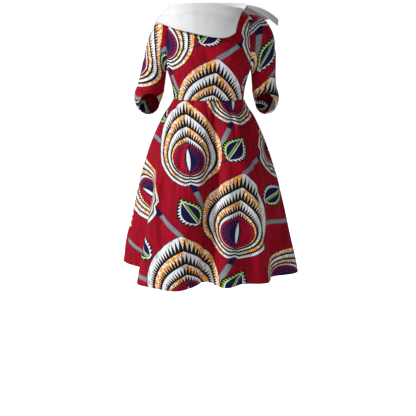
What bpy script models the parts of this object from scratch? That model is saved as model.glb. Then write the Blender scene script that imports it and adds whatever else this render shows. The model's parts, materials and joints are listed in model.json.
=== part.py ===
"""A knee-length fit-and-flare dress with elbow sleeves and a wide fold-over collar.

Metres, +Z up. The front faces -Y and the wearer's left is +X. The origin lies in the middle of the
neckline, at the level of the neck points, where the shoulders carry the dress.

Every piece of cloth is a grid of points on its outer face, in rows and columns. A wall is made from
the grid by moving the same points inwards along the normals, and by closing the edges.
"""

import math
from typing import NamedTuple

import bpy
import numpy as np

# Cloth
CLOTH_THICKNESS = 0.0015
COLLAR_THICKNESS = 0.0022
SEAM_GAP = 0.0003
PRINT_COLOUR = (0.38, 0.004, 0.018)
PRINT_ROUGHNESS = 0.7
WHITE_COLOUR = (0.86, 0.86, 0.86)
WHITE_ROUGHNESS = 0.75

# Levels, from the neck points down
WAIST_HEIGHT = -0.335
ARMPIT_HEIGHT = -0.226
SHOULDER_TIP_HEIGHT = -0.018

# Plan of every ring round the body: a superellipse, a little squarer than an ellipse
SQUARENESS = 2.3

# Neckline
NECK_HALF_WIDTH = 0.130
NECK_FRONT_REACH = 0.076
NECK_BACK_REACH = 0.066
NECK_SQUARENESS = 3.6
NECK_SIDE_HEIGHT = -0.006
NECK_FRONT_DIP = 0.012
NECK_BACK_DIP = 0.006

# Armhole, read by a clock angle: 0 at the underarm, 180 at the shoulder tip
ARMHOLE_STEPS = 9
ARMHOLE_MEAN_X = 0.1560
ARMHOLE_LEAN = 0.0040
ARMHOLE_FRONT_REACH = 0.058
ARMHOLE_FRONT_SCOOP = 0.006
ARMHOLE_BACK_REACH = 0.063
ARMHOLE_BACK_SCOOP = -0.002
SLEEVE_SEAM_GAP = 0.00045
SCOOP_RINGS = 4

# Fullness that the darts leave over the bust
BUST_X = 0.082
BUST_HEIGHT = -0.190
BUST_FULLNESS = 0.007
BUST_SPREAD_X = 0.045
BUST_SPREAD_Z = 0.050
BUST_EDGE_FADE = 4

# Grid of the bodice
BODICE_COLUMNS = 20
BODICE_LOWER_ROWS = 5

# Grid of the skirt
PANEL_COLUMNS = 24
SKIRT_ROWS = 13
SKIRT_ROW_CROWDING = 1.35
HEM_MEAN_HEIGHT = -1.018
FOLD_GROWTH_POWER = 1.15


class SideRow(NamedTuple):
    """Reach of a side seam of the bodice at one height below the armpit."""

    height: float
    half_width: float


SIDE_ROWS = [
    SideRow(-0.335, 0.1365),
    SideRow(-0.300, 0.1395),
    SideRow(-0.265, 0.1475),
    SideRow(-0.226, 0.1600),
]


class TorsoRow(NamedTuple):
    """Depth of the bodice before and behind its side seams at one height."""

    height: float
    front: float
    back: float


TORSO_ROWS = [
    TorsoRow(-0.335, 0.098, 0.089),
    TorsoRow(-0.300, 0.105, 0.092),
    TorsoRow(-0.265, 0.116, 0.098),
    TorsoRow(-0.226, 0.126, 0.106),
    TorsoRow(-0.190, 0.128, 0.111),
    TorsoRow(-0.150, 0.124, 0.114),
    TorsoRow(-0.110, 0.115, 0.112),
    TorsoRow(-0.070, 0.102, 0.105),
    TorsoRow(-0.040, 0.090, 0.092),
    TorsoRow(-0.018, 0.080, 0.074),
]


class SkirtRow(NamedTuple):
    """Size of the skirt before its folds at one height."""

    height: float
    half_width: float
    front: float
    back: float


SKIRT_ROWS_BY_HEIGHT = [
    SkirtRow(-0.335, 0.1365, 0.098, 0.089),
    SkirtRow(-0.360, 0.1490, 0.109, 0.101),
    SkirtRow(-0.400, 0.1760, 0.128, 0.124),
    SkirtRow(-0.445, 0.1990, 0.146, 0.145),
    SkirtRow(-0.512, 0.2280, 0.170, 0.170),
    SkirtRow(-0.574, 0.2490, 0.188, 0.190),
    SkirtRow(-0.633, 0.2680, 0.203, 0.206),
    SkirtRow(-0.692, 0.2830, 0.216, 0.220),
    SkirtRow(-0.794, 0.3070, 0.237, 0.242),
    SkirtRow(-0.874, 0.3240, 0.252, 0.258),
    SkirtRow(-0.935, 0.3390, 0.263, 0.269),
    SkirtRow(-1.018, 0.3560, 0.277, 0.283),
]


class Fold(NamedTuple):
    """One crest or valley of the skirt.

    Angles are in degrees, from the centre front towards the wearer's left. The radius is the reach
    of the hem from the dress's axis, start is the share of the skirt's length above which the fold
    has no depth, and height is the hem's level there.
    """

    waist_angle: float
    hem_angle: float
    radius: float
    start: float
    height: float


FOLDS = [
    Fold(-92.0, -95.0, 0.352, 0.10, -1.000),
    Fold(-66.0, -71.0, 0.258, 0.08, -1.007),
    Fold(-46.0, -48.0, 0.352, 0.12, -1.020),
    Fold(-20.0, -23.0, 0.326, 0.10, -1.022),
    Fold(14.0, -2.0, 0.210, 0.02, -1.015),
    Fold(28.0, 14.0, 0.284, 0.06, -1.018),
    Fold(40.0, 31.0, 0.260, 0.30, -1.019),
    Fold(50.0, 47.0, 0.314, 0.16, -1.018),
    Fold(64.0, 62.0, 0.284, 0.05, -1.020),
    Fold(84.0, 84.0, 0.364, 0.12, -1.026),
    Fold(104.0, 106.0, 0.292, 0.16, -1.021),
    Fold(124.0, 125.0, 0.334, 0.10, -1.018),
    Fold(142.0, 143.0, 0.256, 0.05, -1.014),
    Fold(158.0, 160.0, 0.310, 0.18, -1.018),
    Fold(176.0, 179.0, 0.238, 0.04, -1.015),
    Fold(196.0, 198.0, 0.312, 0.14, -1.019),
    Fold(214.0, 216.0, 0.254, 0.07, -1.013),
    Fold(232.0, 234.0, 0.330, 0.12, -1.014),
    Fold(250.0, 249.0, 0.296, 0.20, -1.006),
]


class ArmRow(NamedTuple):
    """One level ring of a sleeve above the elbow: its outer and inner points and its half depths."""

    outer_x: float
    outer_z: float
    inner_x: float
    inner_z: float
    front: float
    back: float


class ElbowRow(NamedTuple):
    """One ring round the bent elbow: degrees of bend, half width and half depths."""

    bend: float
    half_width: float
    front: float
    back: float


class SleeveShape(NamedTuple):
    """Rings of one sleeve, the elbow's turn inwards in degrees and the radius of its bend."""

    side: int
    arm: list
    elbow: list
    turn: float
    bend_radius: float


LEFT_SLEEVE = SleeveShape(
    side=1,
    arm=[
        ArmRow(0.1750, -0.0190, 0.1606, -0.2278, 0.0590, 0.0640),
        ArmRow(0.1960, -0.0250, 0.1612, -0.2296, 0.0580, 0.0630),
        ArmRow(0.2150, -0.0385, 0.1618, -0.2318, 0.0570, 0.0610),
        ArmRow(0.2320, -0.0610, 0.1624, -0.2345, 0.0560, 0.0590),
        ArmRow(0.2465, -0.0900, 0.1630, -0.2380, 0.0545, 0.0570),
        ArmRow(0.2545, -0.1260, 0.1637, -0.2430, 0.0530, 0.0550),
        ArmRow(0.2580, -0.1680, 0.1645, -0.2510, 0.0515, 0.0535),
        ArmRow(0.2590, -0.2120, 0.1655, -0.2630, 0.0505, 0.0525),
        ArmRow(0.2590, -0.2530, 0.1665, -0.2770, 0.0500, 0.0520),
        ArmRow(0.2640, -0.2920, 0.1680, -0.2920, 0.0490, 0.0515),
    ],
    elbow=[
        ElbowRow(18.0, 0.0505, 0.0480, 0.0510),
        ElbowRow(36.0, 0.0500, 0.0460, 0.0500),
        ElbowRow(54.0, 0.0470, 0.0445, 0.0480),
        ElbowRow(69.0, 0.0435, 0.0430, 0.0435),
        ElbowRow(82.0, 0.0410, 0.0420, 0.0405),
    ],
    turn=16.0,
    bend_radius=0.0600,
)

RIGHT_SLEEVE = SleeveShape(
    side=-1,
    arm=[
        ArmRow(0.1710, -0.0250, 0.1606, -0.2278, 0.0590, 0.0640),
        ArmRow(0.1870, -0.0370, 0.1612, -0.2296, 0.0580, 0.0630),
        ArmRow(0.2025, -0.0520, 0.1618, -0.2318, 0.0570, 0.0610),
        ArmRow(0.2175, -0.0780, 0.1624, -0.2345, 0.0560, 0.0590),
        ArmRow(0.2310, -0.1080, 0.1630, -0.2380, 0.0545, 0.0570),
        ArmRow(0.2410, -0.1450, 0.1638, -0.2430, 0.0530, 0.0550),
        ArmRow(0.2505, -0.1850, 0.1650, -0.2510, 0.0520, 0.0540),
        ArmRow(0.2590, -0.2230, 0.1665, -0.2630, 0.0515, 0.0530),
        ArmRow(0.2690, -0.2600, 0.1685, -0.2770, 0.0510, 0.0525),
        ArmRow(0.2790, -0.2920, 0.1710, -0.2920, 0.0500, 0.0520),
    ],
    elbow=[
        ElbowRow(18.0, 0.0565, 0.0490, 0.0520),
        ElbowRow(36.0, 0.0550, 0.0470, 0.0510),
        ElbowRow(54.0, 0.0505, 0.0450, 0.0485),
        ElbowRow(69.0, 0.0455, 0.0435, 0.0440),
        ElbowRow(82.0, 0.0420, 0.0425, 0.0405),
    ],
    turn=22.0,
    bend_radius=0.0600,
)


class CollarStation(NamedTuple):
    """One section across the collar.

    Angles are in degrees round the neckline, from the centre front towards the wearer's right. The
    fold is the collar's top line and the edge its free lower edge. Bulge is how far the fall
    stands out between them.
    """

    angle: float
    fold_x: float
    fold_y: float
    fold_z: float
    edge_x: float
    edge_y: float
    edge_z: float
    bulge: float


COLLAR_STATIONS = [
    CollarStation(-66.0, 0.1285, -0.0610, 0.0020, 0.0990, -0.1080, -0.0830, 0.0060),
    CollarStation(-58.0, 0.1100, -0.0710, 0.0060, 0.0790, -0.1150, -0.0945, 0.0075),
    CollarStation(-46.0, 0.0810, -0.0800, 0.0110, 0.0560, -0.1210, -0.1000, 0.0090),
    CollarStation(-30.0, 0.0470, -0.0860, 0.0150, 0.0300, -0.1250, -0.0995, 0.0095),
    CollarStation(-8.0, 0.0120, -0.0885, 0.0185, 0.0020, -0.1270, -0.0955, 0.0095),
    CollarStation(16.0, -0.0260, -0.0880, 0.0205, -0.0280, -0.1260, -0.0895, 0.0095),
    CollarStation(40.0, -0.0720, -0.0815, 0.0210, -0.0700, -0.1200, -0.0800, 0.0095),
    CollarStation(60.0, -0.1180, -0.0610, 0.0190, -0.1280, -0.0990, -0.0665, 0.0060),
    CollarStation(76.0, -0.1430, -0.0300, 0.0160, -0.1800, -0.0560, -0.0480, 0.0030),
    CollarStation(90.0, -0.1470, 0.0000, 0.0150, -0.2030, 0.0000, -0.0400, 0.0005),
    CollarStation(104.0, -0.1430, 0.0300, 0.0165, -0.1860, 0.0550, -0.0470, 0.0030),
    CollarStation(122.0, -0.1190, 0.0580, 0.0195, -0.1400, 0.0980, -0.0640, 0.0065),
    CollarStation(144.0, -0.0720, 0.0760, 0.0225, -0.0820, 0.1220, -0.0770, 0.0095),
    CollarStation(166.0, -0.0250, 0.0820, 0.0240, -0.0300, 0.1310, -0.0830, 0.0095),
    CollarStation(190.0, 0.0220, 0.0830, 0.0245, 0.0260, 0.1320, -0.0830, 0.0095),
    CollarStation(212.0, 0.0640, 0.0790, 0.0240, 0.0850, 0.1290, -0.0770, 0.0100),
    CollarStation(232.0, 0.1060, 0.0670, 0.0230, 0.1520, 0.1150, -0.0610, 0.0120),
    CollarStation(246.0, 0.1330, 0.0490, 0.0215, 0.2240, 0.0930, -0.0380, 0.0140),
    CollarStation(256.0, 0.1430, 0.0330, 0.0185, 0.2670, 0.0640, -0.0350, 0.0110),
    CollarStation(264.0, 0.1450, 0.0180, 0.0130, 0.2660, 0.0350, -0.0610, 0.0060),
]

# Section across the collar
COLLAR_STATION_COUNT = 41
COLLAR_STAND_LIFT = 0.0010
COLLAR_ROLL_RADIUS = 0.0040
COLLAR_ROLL_DEGREES = (180.0, 135.0, 90.0, 45.0)
COLLAR_FALL_ROWS = 7


def read_column(rows, key, column, places):
    """Read one column of a table at given places, along a smooth curve through its rows."""
    keys = np.array([getattr(row, key) for row in rows])
    values = np.array([getattr(row, column) for row in rows])
    if keys[0] > keys[-1]:
        keys = keys[::-1]
        values = values[::-1]
    slopes = np.gradient(values, keys)
    places = np.clip(places, keys[0], keys[-1])
    index = np.clip(np.searchsorted(keys, places) - 1, 0, len(keys) - 2)
    span = keys[index + 1] - keys[index]
    share = (places - keys[index]) / span
    rise = share * share * (3.0 - 2.0 * share)
    start_curve = share * (1.0 - share) ** 2
    end_curve = share * share * (share - 1.0)
    level = values[index] * (1.0 - rise) + values[index + 1] * rise
    return level + span * (slopes[index] * start_curve + slopes[index + 1] * end_curve)


def ring_radius(angle, half_width, depth, squareness=SQUARENESS):
    """Radius of a superellipse at a polar angle in radians, measured from the front or back."""
    across = np.abs(np.sin(angle) / half_width) ** squareness
    along = np.abs(np.cos(angle) / depth) ** squareness
    return (across + along) ** (-1.0 / squareness)


def grid_normals(points, wrap):
    """Outward unit normals of a grid whose columns run anticlockwise, seen from above, as rows rise."""
    if wrap:
        along = np.roll(points, -1, axis=1) - np.roll(points, 1, axis=1)
    else:
        along = np.gradient(points, axis=1)
    up = np.gradient(points, axis=0)
    normals = np.cross(along, up)
    return normals / np.linalg.norm(normals, axis=2, keepdims=True)


def wall_faces(rows, columns, wrap):
    """Faces of a closed wall whose outer points come first and whose inner points follow."""
    count = rows * columns
    last = columns if wrap else columns - 1
    faces = []
    for row in range(rows - 1):
        for column in range(last):
            beside = (column + 1) % columns
            low_a = row * columns + column
            low_b = row * columns + beside
            high_a = low_a + columns
            high_b = low_b + columns
            faces.append((low_a, low_b, high_b, high_a))
            faces.append((count + low_a, count + high_a, count + high_b, count + low_b))
    for column in range(last):
        beside = (column + 1) % columns
        top = (rows - 1) * columns
        faces.append((beside, column, count + column, count + beside))
        faces.append((top + column, top + beside, count + top + beside, count + top + column))
    if not wrap:
        for row in range(rows - 1):
            start = row * columns
            above = start + columns
            end = start + columns - 1
            end_above = end + columns
            faces.append((start, above, count + above))
            faces.append((start, count + above, count + start))
            faces.append((end_above, end, count + end_above))
            faces.append((end, count + end, count + end_above))
    return faces


def add_wall(name, outer, inner, wrap, material, parent):
    """Make one closed wall object from the grids of its outer and inner faces."""
    rows, columns = outer.shape[:2]
    vertices = np.concatenate([outer.reshape(-1, 3), inner.reshape(-1, 3)])
    mesh = bpy.data.meshes.new(name)
    mesh.from_pydata(vertices.tolist(), [], wall_faces(rows, columns, wrap))
    mesh.materials.append(material)
    mesh.shade_smooth()
    item = bpy.data.objects.new(name, mesh)
    item.parent = parent
    bpy.context.scene.collection.objects.link(item)
    return item


def cloth_material(name, colour, roughness):
    """Plain cloth material."""
    material = bpy.data.materials.new(name)
    material.use_nodes = True
    shader = material.node_tree.nodes["Principled BSDF"]
    shader.inputs["Base Color"].default_value = (*colour, 1.0)
    shader.inputs["Roughness"].default_value = roughness
    shader.inputs["Metallic"].default_value = 0.0
    return material


def armhole_curve(face):
    """Edge of one armhole from the underarm to the shoulder tip, for the front (-1) or back (+1).

    Given for the wearer's left. The other side has -x.
    """
    clock = np.linspace(0.0, math.pi, ARMHOLE_STEPS + 1)
    middle = (ARMPIT_HEIGHT + SHOULDER_TIP_HEIGHT) / 2.0
    half_height = (SHOULDER_TIP_HEIGHT - ARMPIT_HEIGHT) / 2.0
    reach = ARMHOLE_FRONT_REACH if face < 0 else ARMHOLE_BACK_REACH
    scoop = ARMHOLE_FRONT_SCOOP if face < 0 else ARMHOLE_BACK_SCOOP
    x = ARMHOLE_MEAN_X + ARMHOLE_LEAN * np.cos(clock)
    y = face * (reach * np.sin(clock) + scoop * np.sin(2.0 * clock))
    z = middle - half_height * np.cos(clock)
    return np.stack([x, y, z], axis=1)


def torso_row(face, height, edge_x, edge_y, shares):
    """One level row of the bodice between its side or armhole edges."""
    column = "front" if face < 0 else "back"
    depth = float(read_column(TORSO_ROWS, "height", column, height))
    closeness = (abs(edge_y) / depth) ** SQUARENESS
    half_width = edge_x / (1.0 - closeness) ** (1.0 / SQUARENESS)
    edge_angle = math.atan2(edge_x, abs(edge_y))
    angles = shares * edge_angle
    radius = ring_radius(angles, half_width, depth)
    x = radius * np.sin(angles)
    y = face * radius * np.cos(angles)
    if face < 0:
        sideways = (np.abs(x) - BUST_X) / BUST_SPREAD_X
        upwards = (height - BUST_HEIGHT) / BUST_SPREAD_Z
        y = y - BUST_FULLNESS * np.exp(-(sideways**2) - upwards**2) * (1.0 - shares**BUST_EDGE_FADE)
    return np.stack([x, y, np.full_like(x, height)], axis=1)


def neck_points(angles):
    """Points of the neckline at polar angles in radians, from the centre front to the wearer's left."""
    facing_front = np.cos(angles) > 0.0
    reach = np.where(facing_front, NECK_FRONT_REACH, NECK_BACK_REACH)
    dip = np.where(facing_front, NECK_FRONT_DIP, NECK_BACK_DIP)
    radius = ring_radius(angles, NECK_HALF_WIDTH, reach, NECK_SQUARENESS)
    height = NECK_SIDE_HEIGHT - dip * np.abs(np.cos(angles))
    return np.stack([radius * np.sin(angles), -radius * np.cos(angles), height], axis=-1)


def neck_row(face, shares):
    """Top row of the bodice: the neckline, and a short shoulder seam at each end."""
    neck_share = 1.0 - 2.0 / BODICE_COLUMNS
    angles = np.clip(shares / neck_share, -1.0, 1.0) * math.pi / 2.0
    points = neck_points(angles if face < 0 else math.pi - angles)
    tip = armhole_curve(face)[-1]
    points[0] = (-tip[0], 0.0, tip[2])
    points[-1] = (tip[0], 0.0, tip[2])
    points[[1, -2], 1] = 0.0
    return points


def bodice_grid(face):
    """Outer points of the bodice's front (-1) or back (+1), rows rising from the waist.

    Columns run from the wearer's right to left on the front, and back again on the back.
    """
    shares = np.linspace(-1.0, 1.0, BODICE_COLUMNS + 1)
    rows = []
    for height in np.linspace(WAIST_HEIGHT, ARMPIT_HEIGHT, BODICE_LOWER_ROWS + 1)[:-1]:
        half_width = float(read_column(SIDE_ROWS, "height", "half_width", height))
        rows.append(torso_row(face, height, half_width, 0.0, shares))
    for edge in armhole_curve(face)[:-1]:
        rows.append(torso_row(face, edge[2], edge[0], edge[1], shares))
    rows.append(neck_row(face, shares))
    grid = np.array(rows)
    return grid if face < 0 else grid[:, ::-1]


def bodice_pieces(material, parent):
    """Front and two back halves, with shared normals where the seams meet."""
    grids = {face: bodice_grid(face) for face in (-1, 1)}
    normals = {face: grid_normals(grids[face], False) for face in (-1, 1)}
    joined = list(range(BODICE_LOWER_ROWS + 1)) + [BODICE_LOWER_ROWS + ARMHOLE_STEPS]
    for row in joined:
        edges = [(0, -1), (-1, 0)]
        if row == joined[-1]:
            edges = edges + [(1, -2), (-2, 1)]
        for front_column, back_column in edges:
            shared = normals[-1][row, front_column] + normals[1][row, back_column]
            shared = shared / np.linalg.norm(shared)
            normals[-1][row, front_column] = shared
            normals[1][row, back_column] = shared
            grids[-1][row, front_column, 1] -= SEAM_GAP / 2.0
            grids[1][row, back_column, 1] += SEAM_GAP / 2.0
    inner = {face: grids[face] - CLOTH_THICKNESS * normals[face] for face in (-1, 1)}
    add_wall("bodice_front", grids[-1], inner[-1], False, material, parent)
    middle = BODICE_COLUMNS // 2
    for name, columns, side in (
        ("bodice_back_left", slice(0, middle + 1), 1),
        ("bodice_back_right", slice(middle, BODICE_COLUMNS + 1), -1),
    ):
        seam = middle if side > 0 else 0
        outer_half = grids[1][:, columns].copy()
        inner_half = inner[1][:, columns].copy()
        outer_half[:, seam, 0] += side * SEAM_GAP / 2.0
        inner_half[:, seam, 0] += side * SEAM_GAP / 2.0
        add_wall(name, outer_half, inner_half, False, material, parent)


def fold_profile(angles, share):
    """Extra radius and hem height at polar angles (degrees), at one share of the skirt's length."""
    centres = np.array([fold.waist_angle + (fold.hem_angle - fold.waist_angle) * share for fold in FOLDS])
    base = ring_radius(
        np.radians([fold.hem_angle for fold in FOLDS]),
        SKIRT_ROWS_BY_HEIGHT[-1].half_width,
        SKIRT_ROWS_BY_HEIGHT[-1].front,
    )
    growth = np.array([max(0.0, (share - fold.start) / (1.0 - fold.start)) for fold in FOLDS])
    depths = (np.array([fold.radius for fold in FOLDS]) - base) * growth**FOLD_GROWTH_POWER
    heights = np.array([fold.height for fold in FOLDS])
    centres = np.append(centres, centres[0] + 360.0)
    depths = np.append(depths, depths[0])
    heights = np.append(heights, heights[0])
    turned = (angles - centres[0]) % 360.0 + centres[0]
    index = np.clip(np.searchsorted(centres, turned, side="right") - 1, 0, len(FOLDS) - 1)
    between = (turned - centres[index]) / (centres[index + 1] - centres[index])
    ease = (1.0 - np.cos(math.pi * between)) / 2.0
    extra = depths[index] * (1.0 - ease) + depths[index + 1] * ease
    height = heights[index] * (1.0 - ease) + heights[index + 1] * ease
    return extra, height


def skirt_row(share):
    """One closed row of the skirt, a point every few degrees, from the centre front to the left.

    Each quarter turn has PANEL_COLUMNS steps.
    """
    angles = np.arange(4 * PANEL_COLUMNS) * 90.0 / PANEL_COLUMNS
    extra, hem_height = fold_profile(angles, share)
    top = WAIST_HEIGHT - SEAM_GAP
    height = top + share * (hem_height - top)
    table_height = WAIST_HEIGHT + share * (HEM_MEAN_HEIGHT - WAIST_HEIGHT)
    half_width = float(read_column(SKIRT_ROWS_BY_HEIGHT, "height", "half_width", table_height))
    front = float(read_column(SKIRT_ROWS_BY_HEIGHT, "height", "front", table_height))
    back = float(read_column(SKIRT_ROWS_BY_HEIGHT, "height", "back", table_height))
    turn = np.radians(angles)
    depth = np.where(np.cos(turn) > 0.0, front, back)
    radius = ring_radius(turn, half_width, depth) + extra
    return np.stack([radius * np.sin(turn), -radius * np.cos(turn), height], axis=1)


def skirt_panels(material, parent):
    """A one-piece flared front and two flared back panels, which meet at the sides and the centre back."""
    shares = np.linspace(1.0, 0.0, SKIRT_ROWS) ** SKIRT_ROW_CROWDING
    grid = np.array([skirt_row(share) for share in shares])
    normals = grid_normals(grid, True)
    inner = grid - CLOTH_THICKNESS * normals
    along = np.roll(grid, -1, axis=1) - np.roll(grid, 1, axis=1)
    along = along / np.linalg.norm(along, axis=2, keepdims=True)
    for name, first_quarter, quarters in (
        ("skirt_front", -1, 2),
        ("skirt_back_left", 1, 1),
        ("skirt_back_right", 2, 1),
    ):
        first = first_quarter * PANEL_COLUMNS
        columns = np.arange(first, first + quarters * PANEL_COLUMNS + 1) % (4 * PANEL_COLUMNS)
        outer_panel = grid[:, columns].copy()
        inner_panel = inner[:, columns].copy()
        for panel in (outer_panel, inner_panel):
            panel[:, 0] += along[:, columns[0]] * SEAM_GAP / 2.0
            panel[:, -1] -= along[:, columns[-1]] * SEAM_GAP / 2.0
        add_wall(name, outer_panel, inner_panel, False, material, parent)


def sleeve_ring(centre, across, front_way, front, back):
    """One ring of a sleeve from the side next to the body, round the front to the outside and back."""
    clock = np.arange(2 * ARMHOLE_STEPS) * math.pi / ARMHOLE_STEPS
    depth = np.where(np.sin(clock) > 0.0, front, back)
    return (
        centre
        - np.cos(clock)[:, None] * across
        + (depth * np.sin(clock))[:, None] * front_way
    )


def armhole_ring(side):
    """First ring of a sleeve, on the armhole's edge and a seam's gap outside it."""
    front = armhole_curve(-1)
    back = armhole_curve(1)
    ring = np.concatenate([front, back[-2:0:-1]])
    ring[:, 0] += SLEEVE_SEAM_GAP
    ring[:, 0] *= side
    return ring


def sleeve_grid(shape):
    """Outer points of a sleeve from the cuff up to the armhole."""
    side = shape.side
    forward = np.array([0.0, -1.0, 0.0])
    first = armhole_ring(side)
    centre = (first[0] + first[ARMHOLE_STEPS]) / 2.0
    across = (first[ARMHOLE_STEPS] - first[0]) / 2.0
    scoop = first - sleeve_ring(centre, across, forward, ARMHOLE_FRONT_REACH, ARMHOLE_BACK_REACH)
    rings = [first]
    for number, row in enumerate(shape.arm):
        outer = np.array([side * row.outer_x, 0.0, row.outer_z])
        inner = np.array([side * row.inner_x, 0.0, row.inner_z])
        ring = sleeve_ring((outer + inner) / 2.0, (outer - inner) / 2.0, forward, row.front, row.back)
        scoop_left = max(0.0, 1.0 - (number + 1) / SCOOP_RINGS)
        rings.append(ring + scoop * scoop_left)
    elbow_top = shape.arm[-1]
    middle_x = side * (elbow_top.outer_x + elbow_top.inner_x) / 2.0
    pivot = np.array([middle_x, 0.0, elbow_top.outer_z]) + shape.bend_radius * forward
    full_bend = shape.elbow[-1].bend
    for row in shape.elbow:
        turn = math.radians(shape.turn * row.bend / full_bend)
        bend = math.radians(row.bend)
        level_way = np.array([-side * math.sin(turn), -math.cos(turn), 0.0])
        across = np.array([side * math.cos(turn), -math.sin(turn), 0.0]) * row.half_width
        front_way = level_way * math.cos(bend) + np.array([0.0, 0.0, math.sin(bend)])
        centre = pivot - shape.bend_radius * front_way
        rings.append(sleeve_ring(centre, across, front_way, row.front, row.back))
    return np.array(rings[::-1])


def sleeves(material, parent):
    """Two bent sleeves, each a tube open at the armhole and at the cuff."""
    for name, shape in (("sleeve_left", LEFT_SLEEVE), ("sleeve_right", RIGHT_SLEEVE)):
        grid = sleeve_grid(shape)
        if shape.side < 0:
            grid = grid[:, ::-1]
        normals = grid_normals(grid, True)
        add_wall(name, grid, grid - CLOTH_THICKNESS * normals, True, material, parent)


def collar_section(angle):
    """Points across the collar at one angle: up the stand, over the roll and down the fall."""
    station = [
        float(read_column(COLLAR_STATIONS, "angle", column, angle))
        for column in ("fold_x", "fold_y", "fold_z", "edge_x", "edge_y", "edge_z", "bulge")
    ]
    fold = np.array(station[0:3])
    edge = np.array(station[3:6])
    bulge = station[6]
    base = neck_points(math.radians(-angle)) + np.array([0.0, 0.0, COLLAR_STAND_LIFT])
    level = np.array([edge[0] - fold[0], edge[1] - fold[1], 0.0])
    outward = level / np.linalg.norm(level)
    fall = edge - fold
    up = np.array([0.0, 0.0, 1.0])
    roll = COLLAR_ROLL_RADIUS
    roll_centre = fold - roll * up
    inner_foot = roll_centre - roll * outward
    points = [base, (base + inner_foot) / 2.0]
    for degrees in COLLAR_ROLL_DEGREES:
        lean = math.radians(degrees)
        points.append(roll_centre + roll * (math.cos(lean) * outward + math.sin(lean) * up))
    side_way = np.cross(fall, up)
    stand_off = np.cross(side_way, fall)
    stand_off = stand_off / np.linalg.norm(stand_off)
    start = roll_centre + roll * outward
    for step in range(COLLAR_FALL_ROWS + 1):
        share = step / COLLAR_FALL_ROWS
        hump = 1.0 - (2.0 * share - 1.0) ** 2
        points.append(start + share * (edge - start) + bulge * hump * stand_off)
    return np.array(points)


def collar(material, parent):
    """One wide band that folds over at the neck and is open at the wearer's left shoulder."""
    angles = np.linspace(COLLAR_STATIONS[0].angle, COLLAR_STATIONS[-1].angle, COLLAR_STATION_COUNT)
    grid = np.array([collar_section(angle) for angle in angles]).transpose(1, 0, 2)
    normals = grid_normals(grid, False)
    half = COLLAR_THICKNESS / 2.0
    add_wall("collar", grid + half * normals, grid - half * normals, False, material, parent)


def clear_scene():
    """Remove the objects of the starting scene."""
    for item in list(bpy.data.objects):
        bpy.data.objects.remove(item, do_unlink=True)


def main():
    """Build the dress."""
    clear_scene()
    frame = bpy.data.objects.new("dress_frame", None)
    bpy.context.scene.collection.objects.link(frame)
    print_cloth = cloth_material("wax_print_cotton", PRINT_COLOUR, PRINT_ROUGHNESS)
    white_cloth = cloth_material("white_collar_cloth", WHITE_COLOUR, WHITE_ROUGHNESS)
    bodice_pieces(print_cloth, frame)
    sleeves(print_cloth, frame)
    skirt_panels(print_cloth, frame)
    collar(white_cloth, frame)


main()
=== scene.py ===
"""Looks of a knee-length dress in wax print cotton with a wide white fold-over collar.

Metres, +Z up. The front faces -Y and the wearer's left is +X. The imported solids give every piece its
size and place. Here each piece of cloth is worked out again as a thin shell on the same named sizes,
with its creases, turned hems and stitching, and is dressed in the wax print or the white cloth.

A piece is a grid of points: its rows rise, and its columns run anticlockwise, seen from above. Beside
every point stands its place on the flat cloth, in metres, and the print follows that.
"""

from __future__ import annotations

import json
import logging
import math
from dataclasses import dataclass
from enum import Enum
from typing import Callable, NamedTuple, Sequence

import bpy
import numpy as np
from numpy.typing import NDArray
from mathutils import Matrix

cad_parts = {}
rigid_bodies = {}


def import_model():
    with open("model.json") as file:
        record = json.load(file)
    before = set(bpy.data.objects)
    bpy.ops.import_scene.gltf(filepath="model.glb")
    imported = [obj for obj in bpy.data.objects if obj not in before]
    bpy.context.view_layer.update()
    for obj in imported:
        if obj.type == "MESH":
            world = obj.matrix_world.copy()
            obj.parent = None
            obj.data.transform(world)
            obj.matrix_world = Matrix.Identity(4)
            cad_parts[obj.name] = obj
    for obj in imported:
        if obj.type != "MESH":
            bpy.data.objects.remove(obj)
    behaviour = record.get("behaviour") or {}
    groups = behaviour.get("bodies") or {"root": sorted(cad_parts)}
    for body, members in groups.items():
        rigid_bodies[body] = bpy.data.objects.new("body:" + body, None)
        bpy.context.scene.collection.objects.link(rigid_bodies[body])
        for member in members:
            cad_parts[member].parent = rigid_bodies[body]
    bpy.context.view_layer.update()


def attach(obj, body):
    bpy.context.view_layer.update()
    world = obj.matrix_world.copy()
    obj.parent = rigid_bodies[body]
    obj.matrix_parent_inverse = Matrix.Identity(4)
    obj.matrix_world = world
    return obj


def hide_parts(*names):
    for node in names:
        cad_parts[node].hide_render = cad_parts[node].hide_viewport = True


FloatArray = NDArray[np.float64]
IntArray = NDArray[np.int64]

LOG = logging.getLogger("dress")

CLOTH_MAP = "cloth"

# Cloth: pitch of its threads, the hollow along a seam, and what a turned hem adds to its thickness
THREAD_PITCH = 0.0009
SEAM_GROOVE = 0.0009
SEAM_SPREAD = 0.0035
HEM_FULLNESS = 0.9
HEM_STEP = 0.0008

# Levels and gaps, as in the solids
WAIST_HEIGHT = -0.335
ARMPIT_HEIGHT = -0.226
SHOULDER_TIP_HEIGHT = -0.018
SEAM_GAP = 0.00006
SLEEVE_SEAM_GAP = 0.00045
SQUARENESS = 2.3


class Side(Enum):
    """The wearer's left (+X) and right (-X)."""

    LEFT = 1
    RIGHT = -1


class Face(Enum):
    """Front (-Y) and back (+Y) of the dress."""

    FRONT = -1
    BACK = 1


class Rim(Enum):
    """An edge of a grid of cloth: its first or last row, its first or last column."""

    BOTTOM = "bottom"
    TOP = "top"
    START = "start"
    END = "end"


class Held(Enum):
    """How a sheet of cloth is held, in the frame's words."""

    HUNG = "hung"
    DRAPED = "draped"
    FOLDED = "folded"


# Tables of the forms


class SideRow(NamedTuple):
    """Reach of a side seam of the bodice at one height below the armpit."""

    height: float
    half_width: float


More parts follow.
